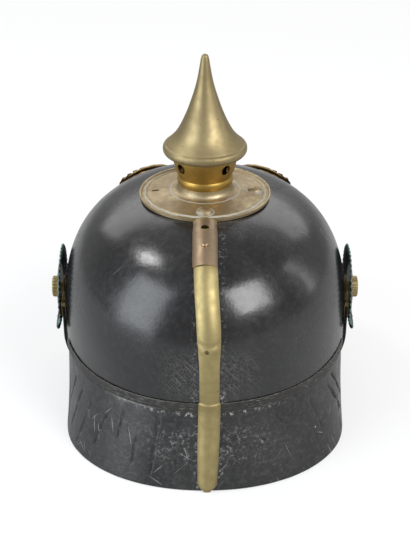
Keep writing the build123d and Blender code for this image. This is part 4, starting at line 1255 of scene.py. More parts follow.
drills = []
for turn in NECK_VENT_TURNS:
    tool = start(
        "neck_vent_drill",
        bpy.ops.mesh.primitive_cylinder_add,
        vertices=40,
        radius=1,
        depth=0.06,
        rotation=(math.pi / 2, 0, 0),
    )
    shape(tool, vent_corner)
    tool.data.transform(Matrix.Rotation(math.radians(turn), 4, "Z"))
    drills.append(tool)
cut(neck, *drills)
round_edges(neck, 0.00015, 55)
soften(neck, 45)
fit(neck, "helmet", "spun_brass", neck_brass, "neck")


# Rear spine and its slider

SPINE_ARCS = (
    (0.0300, 0.0504, 0.0965, 7.6, 29.5),
    (0.05147, 0.08835, 0.0529, 29.5, 62.0),
    (0.02048, 0.07187, 0.0880, 62.0, 90.0),
)
SPINE_BACK = 0.10848
SPINE_SLANT = math.radians(14.7)
SPINE_RISE = 0.0036
HOOK_INSIDE = 0.1174
SLIDER_REACH = (0.0027, 0.0388)


def spine_samples():
    """Places along the spine's foot, as along, height and outward angle back from upright."""
    samples = []
    for along, height, radius, first, last in SPINE_ARCS:
        for angle in np.linspace(math.radians(first), math.radians(last), 50):
            samples.append((along + radius * math.sin(angle), height + radius * math.cos(angle), angle))
    for height in np.linspace(0.070, RIM_REAR + 0.0014, 12):
        samples.append((SPINE_BACK, height, math.pi / 2))
    for height in np.linspace(RIM_REAR - 0.0014, 0.0014, 24):
        along = SPINE_BACK + (RIM_REAR - height) * math.tan(SPINE_SLANT)
        samples.append((along, height, math.pi / 2 - SPINE_SLANT))
    samples.append((0.1216, 0.0005, math.radians(125)))
    samples.append((0.1208, 0.0000, math.pi))
    samples.append((HOOK_INSIDE + 0.0006, 0.0000, math.pi))
    samples.append((HOOK_INSIDE - 0.0003, 0.0004, math.radians(225)))
    samples.append((HOOK_INSIDE - 0.0007, 0.0040, math.radians(270 - 14.7)))
    return np.array(samples)


spine_line = spine_samples()
spine_reach = lengths_along(spine_line)
HEEL_REACH = float(spine_reach[-5])


def spine_at(reach):
    """Place along the spine's foot at a length from its top."""
    return at_length(reach, spine_reach, spine_line)


def make_strip(name, reaches, section, wall, rows, lean, dent):
    """Thin arched strip along the spine's line, from a function for its half width and rise."""

    def place(corner):
        reach = reaches[0] + (reaches[1] - reaches[0]) * (corner.y + 1) / 2
        along, height, turn = spine_at(reach)
        half, rise = section(reach)
        x = half * math.sin(corner.x * math.pi / 2)
        bend = (half * half + rise * rise) / (2 * rise)
        out = math.sqrt(bend * bend - x * x) - bend + rise - dent(reach, corner.x)
        return Vector((x + lean(reach), along + out * math.sin(turn), height + out * math.cos(turn)))

    strip = make_sheet(name, 20, rows, place)
    face_towards(strip, (0, 0, 1))
    modify(strip, "SOLIDIFY", thickness=wall, offset=-1, use_even_offset=True)
    return strip


RIVET_REACH = float(np.interp(-0.0930, -spine_line[:-4, 1], spine_reach[:-4]))
SEAM_REACH = float(np.interp(-0.0575, -spine_line[:-4, 1], spine_reach[:-4]))
LEAN_HEIGHTS = (0.0, 0.025, 0.055, 0.093, 0.108, 0.126, 0.140)
LEANS = (-0.0012, -0.0019, -0.0027, -0.0026, -0.0021, -0.0008, 0.0)


def spine_section(reach):
    """Half width and rise of the spine: pressed narrow above the seam, full and rounded on the visor."""
    pressed = crowd((reach - RIVET_REACH + 0.012) / 0.026) * (1 - crowd((reach - SEAM_REACH) / 0.0008))
    tongue = crowd((reach - SEAM_REACH) / 0.0008)
    half = 0.0072 - 0.0012 * pressed - 0.0005 * tongue
    rise = SPINE_RISE + 0.00008 * noise.noise(Vector((reach * 55.0, 3.0, 0.0))) - 0.0003
    rise -= 0.0008 * pressed
    hooked = crowd((reach - HEEL_REACH + 0.0035) / 0.0040)
    half -= 0.0007 * crowd((reach - HEEL_REACH + 0.035) / 0.035)
    rounding = max(0.0, min(1.0, (reach - HEEL_REACH + 0.0068) / 0.0060))
    half *= math.sqrt(1 - 0.86 * rounding**2)
    return half, rise * (1 - 0.93 * hooked)


def spine_lean(reach):
    """How far the knocked spine stands off the middle line."""
    return float(np.interp(spine_at(reach)[1], LEAN_HEIGHTS, LEANS))


def spine_dent(reach, side):
    """Hollow of the spine below its rivet, which narrows towards the seam, and the dimple round the rivet."""
    below = reach - RIVET_REACH
    width = 0.62 - 9.0 * max(0.0, below)
    hollow = 0.0011 * crowd(below / 0.004) * crowd((0.040 - below) / 0.034) * bump(side, max(0.15, width))
    fold = 0.0007 * bump(below + 0.002 + 0.003 * abs(side), 0.0016) * bump(side, 0.6)
    return hollow + fold


def slider_section(reach):
    """Half width and rise of the slider, over the spine."""
    narrow = 0.0004 * crowd((0.012 - reach) / 0.010)
    return 0.00758 - narrow, 0.00418 - 0.00006 * math.sin(reach * 420.0)


def straight(reach, side=0.0):
    """No lean and no dent."""
    return 0.0


def slot_drill():
    """Long drill for the slot in which the slider's stud travels."""
    turn = math.radians(SLIDER_SLOT_ANGLE)
    tool = start("slot_drill", bpy.ops.mesh.primitive_cylinder_add, vertices=28, radius=0.0011, depth=0.02)

    def stretch(corner):
        along = corner.y + math.copysign(0.0031, corner.y) if abs(corner.y) > 1e-7 else corner.y
        return Vector((corner.x, along, corner.z))

    shape(tool, stretch)
    place = Matrix.Translation(CROWN_MIDDLE + SPINE_ARC * crown_axis(turn))
    tool.data.transform(place @ Matrix.Rotation(-turn, 4, "X"))
    return tool


spine = make_strip(
    "rear_spine_sheet", (0.0, float(spine_reach[-1])), spine_section, 0.0008, 420, spine_lean, spine_dent,
)
cut(spine, drill("vent_drill", VENT_ANGLE, VENT_RADIUS), slot_drill())
round_edges(spine, 0.0002, 60)
soften(spine, 50)
fit(spine, "helmet", "spun_brass", spine_brass, "rear_spine")

rivet_at = spine_at(RIVET_REACH)
rivet = start(
    "spine_rivet_head", bpy.ops.mesh.primitive_uv_sphere_add, segments=24, ring_count=12, radius=1,
)
shape(rivet, lambda corner: Vector((0.0016 * corner.x, 0.0008 * corner.y, 0.0016 * corner.z)))
shank = start(
    "spine_rivet_shank",
    bpy.ops.mesh.primitive_cylinder_add,
    vertices=16,
    radius=0.0011,
    depth=0.0090,
    rotation=(math.pi / 2, 0, 0),
    location=(0, -0.0045, 0),
)
rivet = join([rivet, shank], "spine_rivet_head")
rivet_place = Vector((-0.0013, rivet_at[0] + 0.0022, rivet_at[1]))
rivet_turn = Matrix.Rotation(-(rivet_at[2] - math.pi / 2), 4, "X")
rivet.data.transform(Matrix.Translation(rivet_place) @ rivet_turn)
soften(rivet, 50)
fit(rivet, "helmet", "fitting_brass", dark_brass, "spine_rivet")

slider = make_strip("spine_slider_sheet", SLIDER_REACH, slider_section, 0.0005, 44, straight, straight)
slider_hole = drill("slider_hole_drill", SLIDER_HOLE_ANGLE, VENT_RADIUS)
cut(slider, slider_hole, drill("slider_stud_drill", SLIDER_STUD_ANGLE, 0.0010))
soften(slider, 50)
fit(slider, "slider_body", "spun_brass", slider_brass, "spine_slider")


# Cockades of pleated tin

POST_HEIGHT = 0.077
COCKADE_FACE = 0.09602
COCKADE_RADIUS = 0.0286
COCKADE_HUB = 0.0136
PLEATS = 44


def make_cockade(side, name, seed):
    """Dished disc with pleats that deepen towards a scalloped rim."""

    def place(corner):
        turn = math.pi * corner.x
        share = (corner.y + 1) / 2
        radius = 0.0021 + (COCKADE_RADIUS - 0.0021) * share
        out = crowd((radius - COCKADE_HUB) / (COCKADE_RADIUS - COCKADE_HUB))
        wave = math.cos(PLEATS * turn)
        radius += out * (0.00035 * wave - 0.00035)
        radius -= 0.0005 * out * crowd(round_noise(turn, 3, seed) * 2 - 0.5)
        over_strap = crowd((-math.cos(turn) - 0.42) / 0.28)
        dish = (0.0011 * over_strap - 0.0019 * (1 - over_strap)) * crowd((radius - COCKADE_HUB) / 0.013)
        dish += 0.00030 * wave * crowd((radius - COCKADE_HUB) / 0.004) * (0.6 + 0.4 * share) + 0.0003
        dish += 0.00018 * bump(radius - 0.0212, 0.0007) - 0.00018 * bump(radius - 0.0226, 0.0006)
        dish += 0.0004 * out * round_noise(turn, 1.4, seed + 5)
        height = POST_HEIGHT + radius * math.cos(turn)
        return Vector((side * (COCKADE_FACE + dish), radius * math.sin(turn), height))

    disc = make_sheet(name + "_sheet", PLEATS * 8, 36, place)
    face_towards(disc, (side, 0, 0))
    modify(disc, "SOLIDIFY", thickness=0.0005, offset=1)
    soften(disc, 50)
    fit(disc, "helmet", "cockade_metal", cockade_metal, name)


make_cockade(1, "left_cockade", 1.0)
make_cockade(-1, "right_cockade", 6.0)


# Leather liner and its drawstring

LINER_WIDTH = 0.0896
LINER_LENGTH = 0.1041
LINER_STAGES = ((0.0505, 0.0), (0.094, 0.011), (0.112, 0.020), (0.124, 0.038))
LINER_WALL = 0.0014
TONGUES = 10
SLOT_HALF = 5.5
STRING_HEIGHT = 0.118
STRING_HOLE = 0.0085
TONGUE_RADIUS = 0.0665
FOOT_STITCHES = 210
liner_line = smooth_line(LINER_STAGES)
liner_knots = lengths_along(LINER_STAGES)
BAND_SHARE = float(liner_knots[1] / liner_knots[-1])


def liner_point(turn, share, inward=0.0):
    """Point on the liner's outer face, from the turn round it and the share of the way up."""
    height, lean = liner_line(share)
    across = LINER_WIDTH - lean - inward
    along = LINER_LENGTH - lean - inward
    return Vector((across * math.cos(turn), along * math.sin(turn), height))


def tongue_place(turn):
    """Signed distance of a turn from the middle of its tongue and of its slot, in degrees."""
    angle = math.degrees(turn) % (360 / TONGUES)
    from_slot = angle - 180 / TONGUES
    from_tongue = angle if angle < 180 / TONGUES else angle - 360 / TONGUES
    return from_tongue, from_slot


def liner_corner(corner):
    """Where a corner of a flat sheet lies on the liner."""
    turn = math.pi * (corner.x + 1)
    share = (corner.y + 1) / 2
    from_tongue, from_slot = tongue_place(turn)
    top = 1.0
    if abs(from_slot) >= SLOT_HALF - 0.01:
        edge = min(1.0, abs(from_tongue) / (180 / TONGUES - SLOT_HALF))
        top = 1.0 - 0.13 * (1 - math.sqrt(1 - 0.96 * edge**4))
    if share > BAND_SHARE:
        share = BAND_SHARE + (share - BAND_SHARE) / (1 - BAND_SHARE) * (top - BAND_SHARE)
    elif abs(from_slot) < SLOT_HALF:
        dip = 0.035 * math.sqrt(1 - (from_slot / SLOT_HALF) ** 2)
        share -= dip * crowd((share - BAND_SHARE + 0.12) / 0.12)
    place = liner_point(turn, share)
    inward = 0.0009 * crowd(noise.noise(place * 24.0) + 0.3) + 0.0003 * noise.noise(place * 110.0)
    inward += 0.0006 * bump(share - 0.055, 0.010)
    free = crowd((share - BAND_SHARE) / 0.2)
    inward += free * 0.0016 * crowd(0.5 + round_noise(turn, 5, 4.0))
    inward += free * 0.0010 * (abs(from_tongue) / 12.5) ** 2
    return place - Vector((place.x, place.y, 0)).normalized() * inward


liner = start("liner_sheet", bpy.ops.mesh.primitive_grid_add, x_subdivisions=720, y_subdivisions=56, size=2)
band_height = 2 * BAND_SHARE - 1


def in_slot(face):
    """Whether a face of the flat sheet lies in a slot between two tongues."""
    place = face.calc_center_median()
    return place.y > band_height - 0.01 and abs(tongue_place(math.pi * (place.x + 1))[1]) < SLOT_HALF


pick(liner, "FACE", in_slot)
bpy.ops.mesh.delete(type="FACE")
put_down()
shape(liner, liner_corner)
face_outwards(liner)
if liner.data.polygons[0].normal.dot(liner.data.polygons[0].center) < 0:
    turn_over(liner)
modify(liner, "SOLIDIFY", thickness=LINER_WALL, offset=-1)
string_share = halve(lambda share: liner_line(share)[0] < STRING_HEIGHT, 0.0, 1.0)
holes = start(
    "tongue_hole_drill", bpy.ops.mesh.primitive_cylinder_add, vertices=16, radius=0.0016, depth=0.016,
)
hole_places = []
for index in range(TONGUES):
    middle = 2 * math.pi * index / TONGUES
    for way in (-1, 1):
        turn = middle + way * STRING_HOLE / TONGUE_RADIUS
        here = liner_point(turn, string_share, LINER_WALL / 2)
        above, below = liner_point(turn, string_share + 0.01), liner_point(turn, string_share - 0.01)
        around = Vector((-math.sin(turn), math.cos(turn), 0))
        through = around.cross((above - below).normalized())
        hole_places.append(Matrix.Translation(here) @ through.to_track_quat("Z", "Y").to_matrix().to_4x4())
cut(liner, copies(holes, hole_places, "tongue_hole_drills"))
soften(liner, 50)
fit(liner, "helmet", "liner_leather", liner_leather, "liner")

# Stitches that hold the liner's foot
foot_stitch = make_stitch("foot_stitch", (0.0013, 0.00035, 0.00035))
stitch_places = []
for index in range(FOOT_STITCHES):
    turn = 2 * math.pi * index / FOOT_STITCHES
    here = liner_point(turn, 0.055, LINER_WALL + 0.0006)
    around = Vector((-LINER_WIDTH * math.sin(turn), LINER_LENGTH * math.cos(turn), 0)).normalized()
    inward = around.cross(Vector((0, 0, 1)))
    stitch_places.append(stand(here, around, inward, Vector((0, 0, 1))))
foot_stitches = copies(foot_stitch, stitch_places, "liner_foot_stitches")
soften(foot_stitches, 80)
fit(foot_stitches, "helmet", "liner_leather", cotton_cord)

STRING_RADIUS = 0.0012
KNOT_TURN = math.radians(90 + 180 / TONGUES)


def string_middle(turn):
    """Middle of the drawstring, threaded in and out through two holes in each tongue."""
    from_tongue = math.radians(tongue_place(turn)[0]) * TONGUE_RADIUS
    inside = crowd((STRING_HOLE + 0.0012 - abs(from_tongue)) / 0.0024)
    outside = crowd((0.0165 - abs(from_tongue)) / 0.003) * (1 - inside)
    inward = LINER_WALL / 2 + 0.0021 * inside - 0.0021 * outside + 0.0008
    place = liner_point(turn, string_share, inward)
    place.z += 0.0005 * round_noise(turn, 8, 0)
    return place


def string_point(corner):
    """Where a corner of a flat sheet lies on the twisted cord."""
    turn, around = math.pi * (corner.x + 1), math.pi * (corner.y + 1)
    middle = string_middle(turn)
    ahead = (string_middle(turn + 0.01) - string_middle(turn - 0.01)).normalized()
    side = ahead.cross(Vector((0, 0, 1))).normalized()
    radius = STRING_RADIUS * (0.80 + 0.20 * abs(math.cos(1.5 * (around - turn * 110))))
    return middle + radius * (math.cos(around) * side + math.sin(around) * side.cross(ahead))


string = make_sheet("drawstring_cord", 2200, 12, string_point)
knot = start(
    "knot_wrap",
    bpy.ops.mesh.primitive_torus_add,
    major_radius=0.0019,
    minor_radius=0.00115,
    major_segments=24,
    minor_segments=10,
)
knot_middle = string_middle(KNOT_TURN)
inward_way = -Vector((knot_middle.x, knot_middle.y, 0)).normalized()
knot_places = []
for step, lean, tip in ((0.0, 90, 80), (0.0012, 60, 100), (0.0006, 10, 20)):
    leaned = Matrix.Rotation(math.radians(lean), 4, "X")
    tipped = Matrix.Rotation(math.radians(tip), 4, "Y")
    knot_places.append(Matrix.Translation(knot_middle + inward_way * step) @ leaned @ tipped)
knots = copies(knot, knot_places, "drawstring_knot")


def end_point(way, reach):
    """Middle of one short end of the drawstring below its knot."""
    side = Vector((way * (0.0015 + 0.0045 * math.sin(1.8 * reach)), 0, -0.0170 * reach))
    return knot_middle + inward_way * (0.0020 + 0.0030 * math.sin(2.2 * reach)) + side


def make_string_end(way):
    """Short end with a frayed tip."""

    def place(corner):
        reach, around = (corner.x + 1) / 2, math.pi * (corner.y + 1)
        ahead = (end_point(way, reach + 0.01) - end_point(way, reach - 0.01)).normalized()
        side = ahead.cross(inward_way).normalized()
        twist = 0.80 + 0.20 * abs(math.cos(1.5 * (around - reach * 30)))
        radius = STRING_RADIUS * twist * (1 + 0.4 * crowd((reach - 0.85) / 0.15))
        out = math.cos(around) * side + math.sin(around) * side.cross(ahead)
        return end_point(way, reach) + radius * out

    return make_sheet("drawstring_end", 90, 12, place)


string = join([string, knots, make_string_end(-1), make_string_end(1)], "drawstring_cord")
soften(string, 60)
fit(string, "helmet", "cord", cotton_cord, "drawstring")


# Chinstrap

STRAP_HALF = 0.0080
STRAP_THICK = 0.0016
STRAP_OUTER = 0.0954
STRAP_LOW = 0.0034
STRAP_CORNER = 0.0420
STRAP_END = 0.0660
SLIDE_ACROSS = 0.030
STRAP_STEPS = 110


def strap_samples():
    """Places along the strap's outer face, as across, height and the angle it faces."""
    middle = (STRAP_OUTER - STRAP_CORNER, STRAP_LOW + STRAP_CORNER)
    samples = [(STRAP_OUTER, height, 0.0) for height in np.linspace(STRAP_END, middle[1], 10)]
    for turn in np.linspace(0, math.pi / 2, 30)[1:]:
        across, height = STRAP_CORNER * math.cos(turn), STRAP_CORNER * math.sin(turn)
        samples.append((middle[0] + across, middle[1] - height, -turn))
    half = list(samples)
    for across, height, facing in reversed(half[:-1]):
        samples.append((-across, height, -math.pi - facing))
    return np.array(samples)


strap_line = strap_samples()
strap_reach = lengths_along(strap_line)


def strap_corner(corner):
    """Where a corner of a flat sheet lies on the strap's outer face."""
    reach = strap_reach[-1] * (corner.x + 1) / 2
    across, height, facing = at_length(reach, strap_reach, strap_line)
    side = corner.y
    wave = 0.00012 * noise.noise(Vector((reach * 60.0, side * 1.5, 2.0)))
    groove = -0.00016 * bump(abs(side) - 0.76, 0.05)
    out = min(0.0, wave - 0.00008) + groove - 0.00030 * crowd((abs(side) - 0.86) / 0.14)
    edge = STRAP_HALF * side * (1 + 0.012 * noise.noise(Vector((reach * 45.0, 0.0, side))))
    edge = max(-STRAP_HALF, min(STRAP_HALF, edge))
    return Vector((across + out * math.cos(facing), edge, height + out * math.sin(facing)))


strap = make_sheet("chinstrap_leather", 380, 30, strap_corner)
face_towards(strap, (0, 0, -1))
modify(strap, "SOLIDIFY", thickness=STRAP_THICK - 0.0001, offset=-1)
round_edges(strap, 0.0003, 60)
soften(strap, 50)
fit(strap, "chinstrap_body", "strap_leather", strap_leather, "chinstrap")

strap_stitch = make_stitch("strap_stitch", (0.0010, 0.00030, 0.00022))
strap_places = []
for index in range(5, STRAP_STEPS - 4):
    reach = strap_reach[-1] * index / STRAP_STEPS
    across, height, facing = at_length(reach, strap_reach, strap_line)
    if abs(abs(across) - SLIDE_ACROSS) < 0.008 and height < 0.02:
        continue
    for way in (-1, 1):
        out = Vector((math.cos(facing), 0, math.sin(facing)))
        along = Vector((-math.sin(facing), 0, math.cos(facing)))
        here = Vector((across, way * 0.76 * STRAP_HALF, height)) - out * 0.0002
        strap_places.append(stand(here, along, out.cross(along), out))
strap_stitches = copies(strap_stitch, strap_places, "chinstrap_stitches")
soften(strap_stitches, 80)
fit(strap_stitches, "chinstrap_body", "strap_leather", dark_thread)


# Front plate: a stamped eagle with spread wings and a bare scroll

PLATE_GAP = 0.0020
# Lines of one wing, in millimetres across and up
WING_ARM = ((10, 101), (17, 111.5), (25, 121.5), (34, 127), (45, 127), (54.5, 120.5))
WING_TIPS = ((12, 90), (20, 82), (31, 78), (41, 81), (49.5, 88.5), (55, 98), (58.5, 107), (59.6, 115))
PRIMARIES = 12
COVERTS = 12
MARGINALS = 13


def on_dome(across, height, out):
    """Point in front of the shell, at a distance out from its face."""
    rise = max(0.0, (height - EQUATOR) / (CROWN - EQUATOR))
    level = (1 - rise**DOME_POWER) ** (1 / DOME_POWER)
    depth = HALF_LENGTH * math.sqrt(max(0.02, level**2 - (across / HALF_WIDTH) ** 2))
    tilt = rise ** (DOME_POWER - 1) / (CROWN - EQUATOR) * level ** (2 - DOME_POWER)
    facing = Vector((across / HALF_WIDTH**2, -depth / HALF_LENGTH**2, tilt)).normalized()
    return Vector((across, -depth, height)) + facing * out


def wrap(corner):
    """Bend the flat eagle onto the shell: across, relief towards the front and up, in millimetres."""
    return on_dome(corner.x * MM, corner.z * MM, PLATE_GAP - corner.y * MM)


def flat_place(x, z, relief, turn, long, wide, lift=0.0):
    """Where a feather of length and width 1, hanging down from the origin, goes on the flat eagle."""
    return (
        Matrix.Translation(Vector((x, -relief, z)))
        @ Matrix.Rotation(turn, 4, "Y")
        @ Matrix.Rotation(lift, 4, "X")
        @ Matrix.Diagonal(Vector((wide, 1.0, long, 1.0)))
    )


def make_feather(name, tip_power, rib, barbs):
    """Flat feather of length and width 1, with a raised rib, barbs and a rounded tip."""

    def place(corner):
        down = (1 - corner.y) / 2
        half = 0.5 * min(1.0, 0.22 + 1.9 * down) * max(0.0, 1 - down**tip_power) ** 0.5
        camber = 0.85 * (1 - corner.x**2) + rib * bump(corner.x, 0.13)
        camber += 0.06 * math.sin(barbs * (down + 0.16 * abs(corner.x)))
        return Vector((half * corner.x, -camber * (1 - 0.55 * down**4), -down))

    feather = make_sheet(name, 10, 22, place)
    face_towards(feather, (0, -1, 0))
    modify(feather, "SOLIDIFY", thickness=0.45, offset=-1)
    return feather


def wing_row(count, root_lift, reach, relief, wide):
    """Places for one row of feathers on both wings."""
    arm, tips = smooth_line(WING_ARM), smooth_line(WING_TIPS)
    places = []
    for index in range(count):
        share = (index + 0.5) / count
        root, tip = arm(share), tips(share)
        root = root + (tip - root) * root_lift
        tip = root + (tip - root) * reach
        run = tip - root
        long = float(np.hypot(*run))
        turn = math.atan2(-run[0], -run[1])
        for way in (1, -1):
            step = relief + 0.35 * share
            places.append(flat_place(way * root[0], root[1], step, way * turn, long, wide, 0.012))
    return places


def wing_sheet(way):
    """Plain sheet under the feathers of one wing."""
    arm, tips = smooth_line(WING_ARM), smooth_line(WING_TIPS)

    def place(corner):
        share, down = (corner.x + 1) / 2, (corner.y + 1) / 2
        point = arm(share) + (tips(share) - arm(share)) * 0.72 * down
        return Vector((way * point[0], -0.2, point[1]))

    sheet = make_sheet("wing_sheet", 40, 16, place)
    face_towards(sheet, (0, -1, 0))
    modify(sheet, "SOLIDIFY", thickness=0.8, offset=-1)
    return sheet


def arm_roll(way):
    """Rounded leading edge of one wing."""
    arm = smooth_line([(8, 99), *WING_ARM])

    def place(corner):
        share, around = (corner.x + 1) / 2, math.pi * (corner.y + 1)
        here, ahead = arm(share), arm(min(1.0, share + 0.01)) - arm(max(0.0, share - 0.01))
        ahead = ahead / np.hypot(*ahead)
        radius = 2.3 * (0.55 + 0.45 * math.sin(math.pi * (0.15 + 0.8 * share)))
        radius *= math.sqrt(max(0.03, 1 - (2 * share - 1) ** 10)) * (1 + 0.05 * math.sin(share * 70))
        out = radius * math.sin(around)
        side = radius * math.cos(around)
        return Vector((way * (here[0] - ahead[1] * side), -1.1 - 0.7 * out, here[1] + ahead[0] * side))

    return make_sheet("wing_arm", 70, 14, place)


def swelling(name, x, z, relief, half_width, half_height, depth, turn=0.0, taper=0.0):
    """Rounded mass of the eagle, flatter at the back and narrower towards its top by a taper."""
    ball = start(name, bpy.ops.mesh.primitive_uv_sphere_add, segments=28, ring_count=18, radius=1)
    along, across = math.cos(turn), math.sin(turn)

    def place(corner):
        narrow = 1 - taper * corner.z
        wide, high = half_width * corner.x * narrow, half_height * corner.z
        deep = corner.y * (depth if corner.y < 0 else 0.3 * depth)
        return Vector((x + wide * along + high * across, deep - relief, z - wide * across + high * along))

    shape(ball, place)
    return ball


def talon(x, z, relief, turn, long):
    """One curved claw on the flat eagle."""
    claw = start("talon", bpy.ops.mesh.primitive_cone_add, vertices=12, radius1=0.85, radius2=0.12, depth=1)

    def place(corner):
        down = corner.z + 0.5
        bend = 0.30 * long * down * down
        wide, high = corner.x + bend, -long * down
        along, across = math.cos(turn), math.sin(turn)
        height = z - wide * across + high * along
        return Vector((x + wide * along + high * across, 0.9 * corner.y - relief, height))

    pick(claw, "EDGE", lambda edge: abs(edge.verts[0].co.z - edge.verts[1].co.z) > 0.5)
    bpy.ops.mesh.subdivide(number_cuts=5)
    put_down()
    shape(claw, place)
    return claw


def make_scroll():
    """Bare ribbon that dips across the wings and the breast, with folded ends."""
    half_line = [(43, 108.5), (38, 105.5), (27, 99.5), (13, 93.5)]
    line = smooth_line([(-x, z) for x, z in half_line] + [(0, 91.5)] + half_line[::-1])

    def place(corner):
        share, up = (corner.x + 1) / 2, corner.y
        here = line(share)
        ahead = line(min(1.0, share + 0.01)) - line(max(0.0, share - 0.01))
        ahead = ahead / np.hypot(*ahead)
        half = 2.5
        relief = 3.7 + 0.45 * math.cos(share * 8 * math.pi) + 0.9 * bump(here[0], 11.0)
        relief += 0.25 * bump(abs(up) - 0.9, 0.12)
        notch = 0.9 * abs(up) if share in (0.0, 1.0) else 0.0
        x = here[0] - ahead[1] * half * up + notch * math.copysign(1, -here[0])
        return Vector((x, -relief, here[1] + ahead[0] * half * up))

    ribbon = make_sheet("scroll", 120, 12, place)
    face_towards(ribbon, (0, -1, 0))
    modify(ribbon, "SOLIDIFY", thickness=0.6, offset=-1)
    return ribbon


flat_parts = [wing_sheet(1), wing_sheet(-1)]
for name, feather, row in (
    ("primaries", ("primary", 7.0, 0.30, 62.0), (PRIMARIES, 0.10, 1.0, 0.25, 8.4)),
    ("coverts", ("covert", 5.0, 0.24, 40.0), (COVERTS, 0.04, 0.46, 1.15, 7.0)),
    ("marginals", ("marginal", 3.5, 0.16, 22.0), (MARGINALS, 0.02, 0.22, 1.9, 5.6)),
):
    flat_parts.append(copies(make_feather(*feather), wing_row(*row), name))
flat_parts += [arm_roll(1), arm_roll(-1)]

tail_places = []
for step in (-3, 3, -2, 2, -1, 1, 0):
    turn = math.radians(-11.5 * step)
    relief, long = 1.5 - 0.35 * abs(step), 22.0 - 0.35 * step * step
    tail_places.append(flat_place(1.1 * step, 87.0, relief, -turn, long, 6.6, 0.012))
flat_parts.append(copies(make_feather("tail_feather", 6.0, 0.30, 50.0), tail_places, "tail_feathers"))

flat_parts += [
    swelling("breast", 0, 100.5, 0.6, 8.6, 15.5, 3.6, taper=0.16),
    swelling("neck_mass", -0.6, 115.5, 0.5, 4.6, 8.5, 3.0, turn=-0.10, taper=0.15),
    swelling("head", -2.2, 124.0, 0.6, 4.3, 3.7, 2.9),
    swelling("beak", -7.0, 123.4, 1.1, 2.9, 1.5, 1.5, turn=-0.22),
    swelling("beak_hook", -9.2, 122.2, 1.1, 0.8, 1.6, 0.9, turn=0.2),
    swelling("eye", -3.6, 124.7, 3.1, 0.8, 0.8, 0.5),
    swelling("brow", -3.6, 126.0, 2.7, 2.0, 0.5, 0.7, turn=-0.15),
]
scale_places = []
for row in range(13):
    height = 116.5 - 2.5 * row
    reach = 8.0 * math.sqrt(max(0.05, 1 - ((height - 100.5) / 17.5) ** 2)) if height < 112 else 4.2
    count = max(2, int(reach / 1.55))
    for index in range(count):
        side = (index + 0.5 - count / 2) / (count / 2)
        round_side = math.sqrt(max(0.05, 1 - side**2 * 0.9))
        relief = 0.6 + 3.0 * round_side * math.sqrt(max(0.1, 1 - ((height - 101) / 20) ** 2))
        scale_places.append(flat_place(side * reach, height + 1.5, relief, 0.35 * side, 4.6, 3.4, 0.10))
flat_parts.append(copies(make_feather("breast_feather", 3.2, 0.14, 14.0), scale_places, "breast_feathers"))
crest_places = []
for index, turn in enumerate((0.2, 0.9, 1.6, 2.2)):
    across, height = -1.0 + 0.9 * math.cos(turn), 125.0 - 1.2 * index
    crest_places.append(flat_place(across, height, 2.6, 0.6 + 0.25 * index, 5.2, 2.4, 0.05))
flat_parts.append(copies(make_feather("crest_feather", 3.0, 0.14, 12.0), crest_places, "crest_feathers"))
for way in (1, -1):
    flat_parts.append(swelling("thigh", way * 9.5, 87.5, 0.8, 3.4, 7.5, 2.9, turn=-way * 0.75, taper=-0.25))
    flat_parts.append(swelling("shank", way * 15.6, 80.6, 1.0, 1.3, 4.2, 1.5, turn=-way * 0.8))
    for spread, long in ((-0.75, 4.8), (-0.15, 5.4), (0.45, 4.8), (1.7, 3.4)):
        flat_parts.append(talon(way * 18.2, 77.8, 1.5, way * -spread, long))
flat_parts.append(make_scroll())
eagle = join(flat_parts, "front_plate_relief")
shape(eagle, wrap)
soften(eagle, 45)
fit(eagle, "helmet", "plate_brass", eagle_brass, "front_plate")


# Floor, light and camera


def make_ground(name, mirrored):
    """White ground that keeps the helmet's soft shadow, and as bright as it is mirrored in the helmet."""
    material, tree, shader = finish(name)
    tree.nodes.remove(shader)
    output = tree.nodes["Material Output"]
    rays = put(tree, "ShaderNodeLightPath")
    seen = most(tree, rays.outputs["Is Camera Ray"], rays.outputs["Is Transmission Ray"])
    seen = most(tree, seen, times(tree, rays.outputs["Is Glossy Ray"], mirrored))
    white = put(tree, "ShaderNodeEmission", {"Color": (1, 1, 1, 1), "Strength": 0.60})
    card = put(tree, "ShaderNodeBsdfDiffuse", {"Color": (0.34, 0.34, 0.342, 1)})
    plain = put(tree, "ShaderNodeBsdfDiffuse", {"Color": (0.45, 0.45, 0.45, 1)})
    both = put(tree, "ShaderNodeAddShader", {0: white.outputs[0], 1: card.outputs[0]})
    mixed = put(tree, "ShaderNodeMixShader", {0: seen, 1: plain.outputs[0], 2: both.outputs[0]})
    tree.links.new(mixed.outputs[0], output.inputs["Surface"])
    return material


ground = make_ground("pale_floor", 0.22)
wall = make_ground("pale_backdrop", 1.0)
floor = start("floor", bpy.ops.mesh.primitive_circle_add, vertices=96, radius=7, fill_type="NGON")
floor.data.materials.append(ground)
backdrop = start(
    "backdrop",
    bpy.ops.mesh.primitive_plane_add,
    size=1,
    location=(0, -2.4, 1.3),
    rotation=(math.pi / 2, 0, 0),
    scale=(6.0, 2.6, 1),
)
backdrop.data.materials.append(wall)

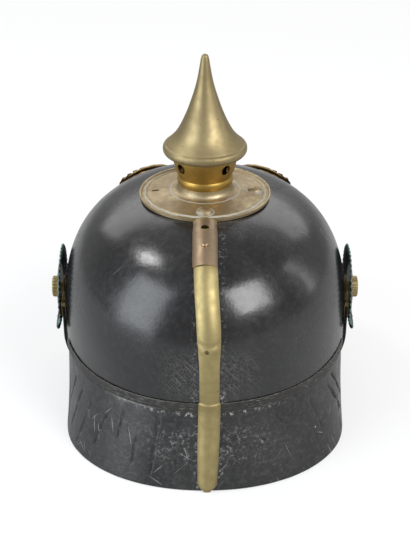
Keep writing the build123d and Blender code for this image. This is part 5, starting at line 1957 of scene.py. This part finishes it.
world = bpy.context.scene.world or bpy.data.worlds.new("studio")
bpy.context.scene.world = world
world.use_nodes = True
sky = world.node_tree
for part in list(sky.nodes):
    sky.nodes.remove(part)
rays = put(sky, "ShaderNodeLightPath")
around = put(sky, "ShaderNodeBackground", {"Color": (1.0, 1.0, 1.0, 1), "Strength": 0.38})
behind = put(sky, "ShaderNodeBackground", {"Color": (1, 1, 1, 1), "Strength": 1.0})
seen = put(
    sky,
    "ShaderNodeMixShader",
    {0: rays.outputs["Is Camera Ray"], 1: around.outputs[0], 2: behind.outputs[0]},
)
put(sky, "ShaderNodeOutputWorld", {"Surface": seen.outputs[0]})

AIM = Vector((0, 0, 0.09))


def add_lamp(name, azimuth, elevation, distance, size, watts, colour=(1, 1, 1)):
    """Soft square lamp, seen from the helmet towards +Y and round towards +X."""
    turn, lift = math.radians(azimuth), math.radians(elevation)
    away = Vector((math.sin(turn) * math.cos(lift), math.cos(turn) * math.cos(lift), math.sin(lift)))
    light = bpy.data.lights.new(name, "AREA")
    light.shape = "RECTANGLE"
    light.size, light.size_y = size
    light.energy = watts
    light.color = colour
    lamp = bpy.data.objects.new(name, light)
    bpy.context.scene.collection.objects.link(lamp)
    lamp.location = AIM + away * distance
    lamp.rotation_euler = away.to_track_quat("Z", "Y").to_euler()
    lamp.visible_camera = False


add_lamp("left_softbox", 60, 24, 1.5, (0.95, 1.5), 20.0, (0.90, 0.96, 1.0))
add_lamp("left_window", 106, 57, 1.6, (0.30, 0.30), 5.0)
add_lamp("right_softbox", -46, 38, 1.5, (0.8, 0.85), 18.0)
add_lamp("right_edge_lamp", -100, 20, 1.6, (0.25, 1.1), 2.0)
add_lamp("back_softbox", 180, 34, 2.1, (3.6, 0.9), 17.0)

CAMERA_PLACE = Vector((0, 0.7292, 0.4837))
CAMERA_AIM = Vector((0, 0, 0.0866))
CAMERA_LENS = 82.25

camera = bpy.data.objects.new("camera", bpy.data.cameras.new("camera"))
bpy.context.scene.collection.objects.link(camera)
camera.location = CAMERA_PLACE
camera.rotation_euler = (CAMERA_PLACE - CAMERA_AIM).to_track_quat("Z", "Y").to_euler()
camera.data.lens = CAMERA_LENS
camera.data.clip_start = 0.05
bpy.context.scene.camera = camera
bpy.context.scene.view_settings.view_transform = "Standard"
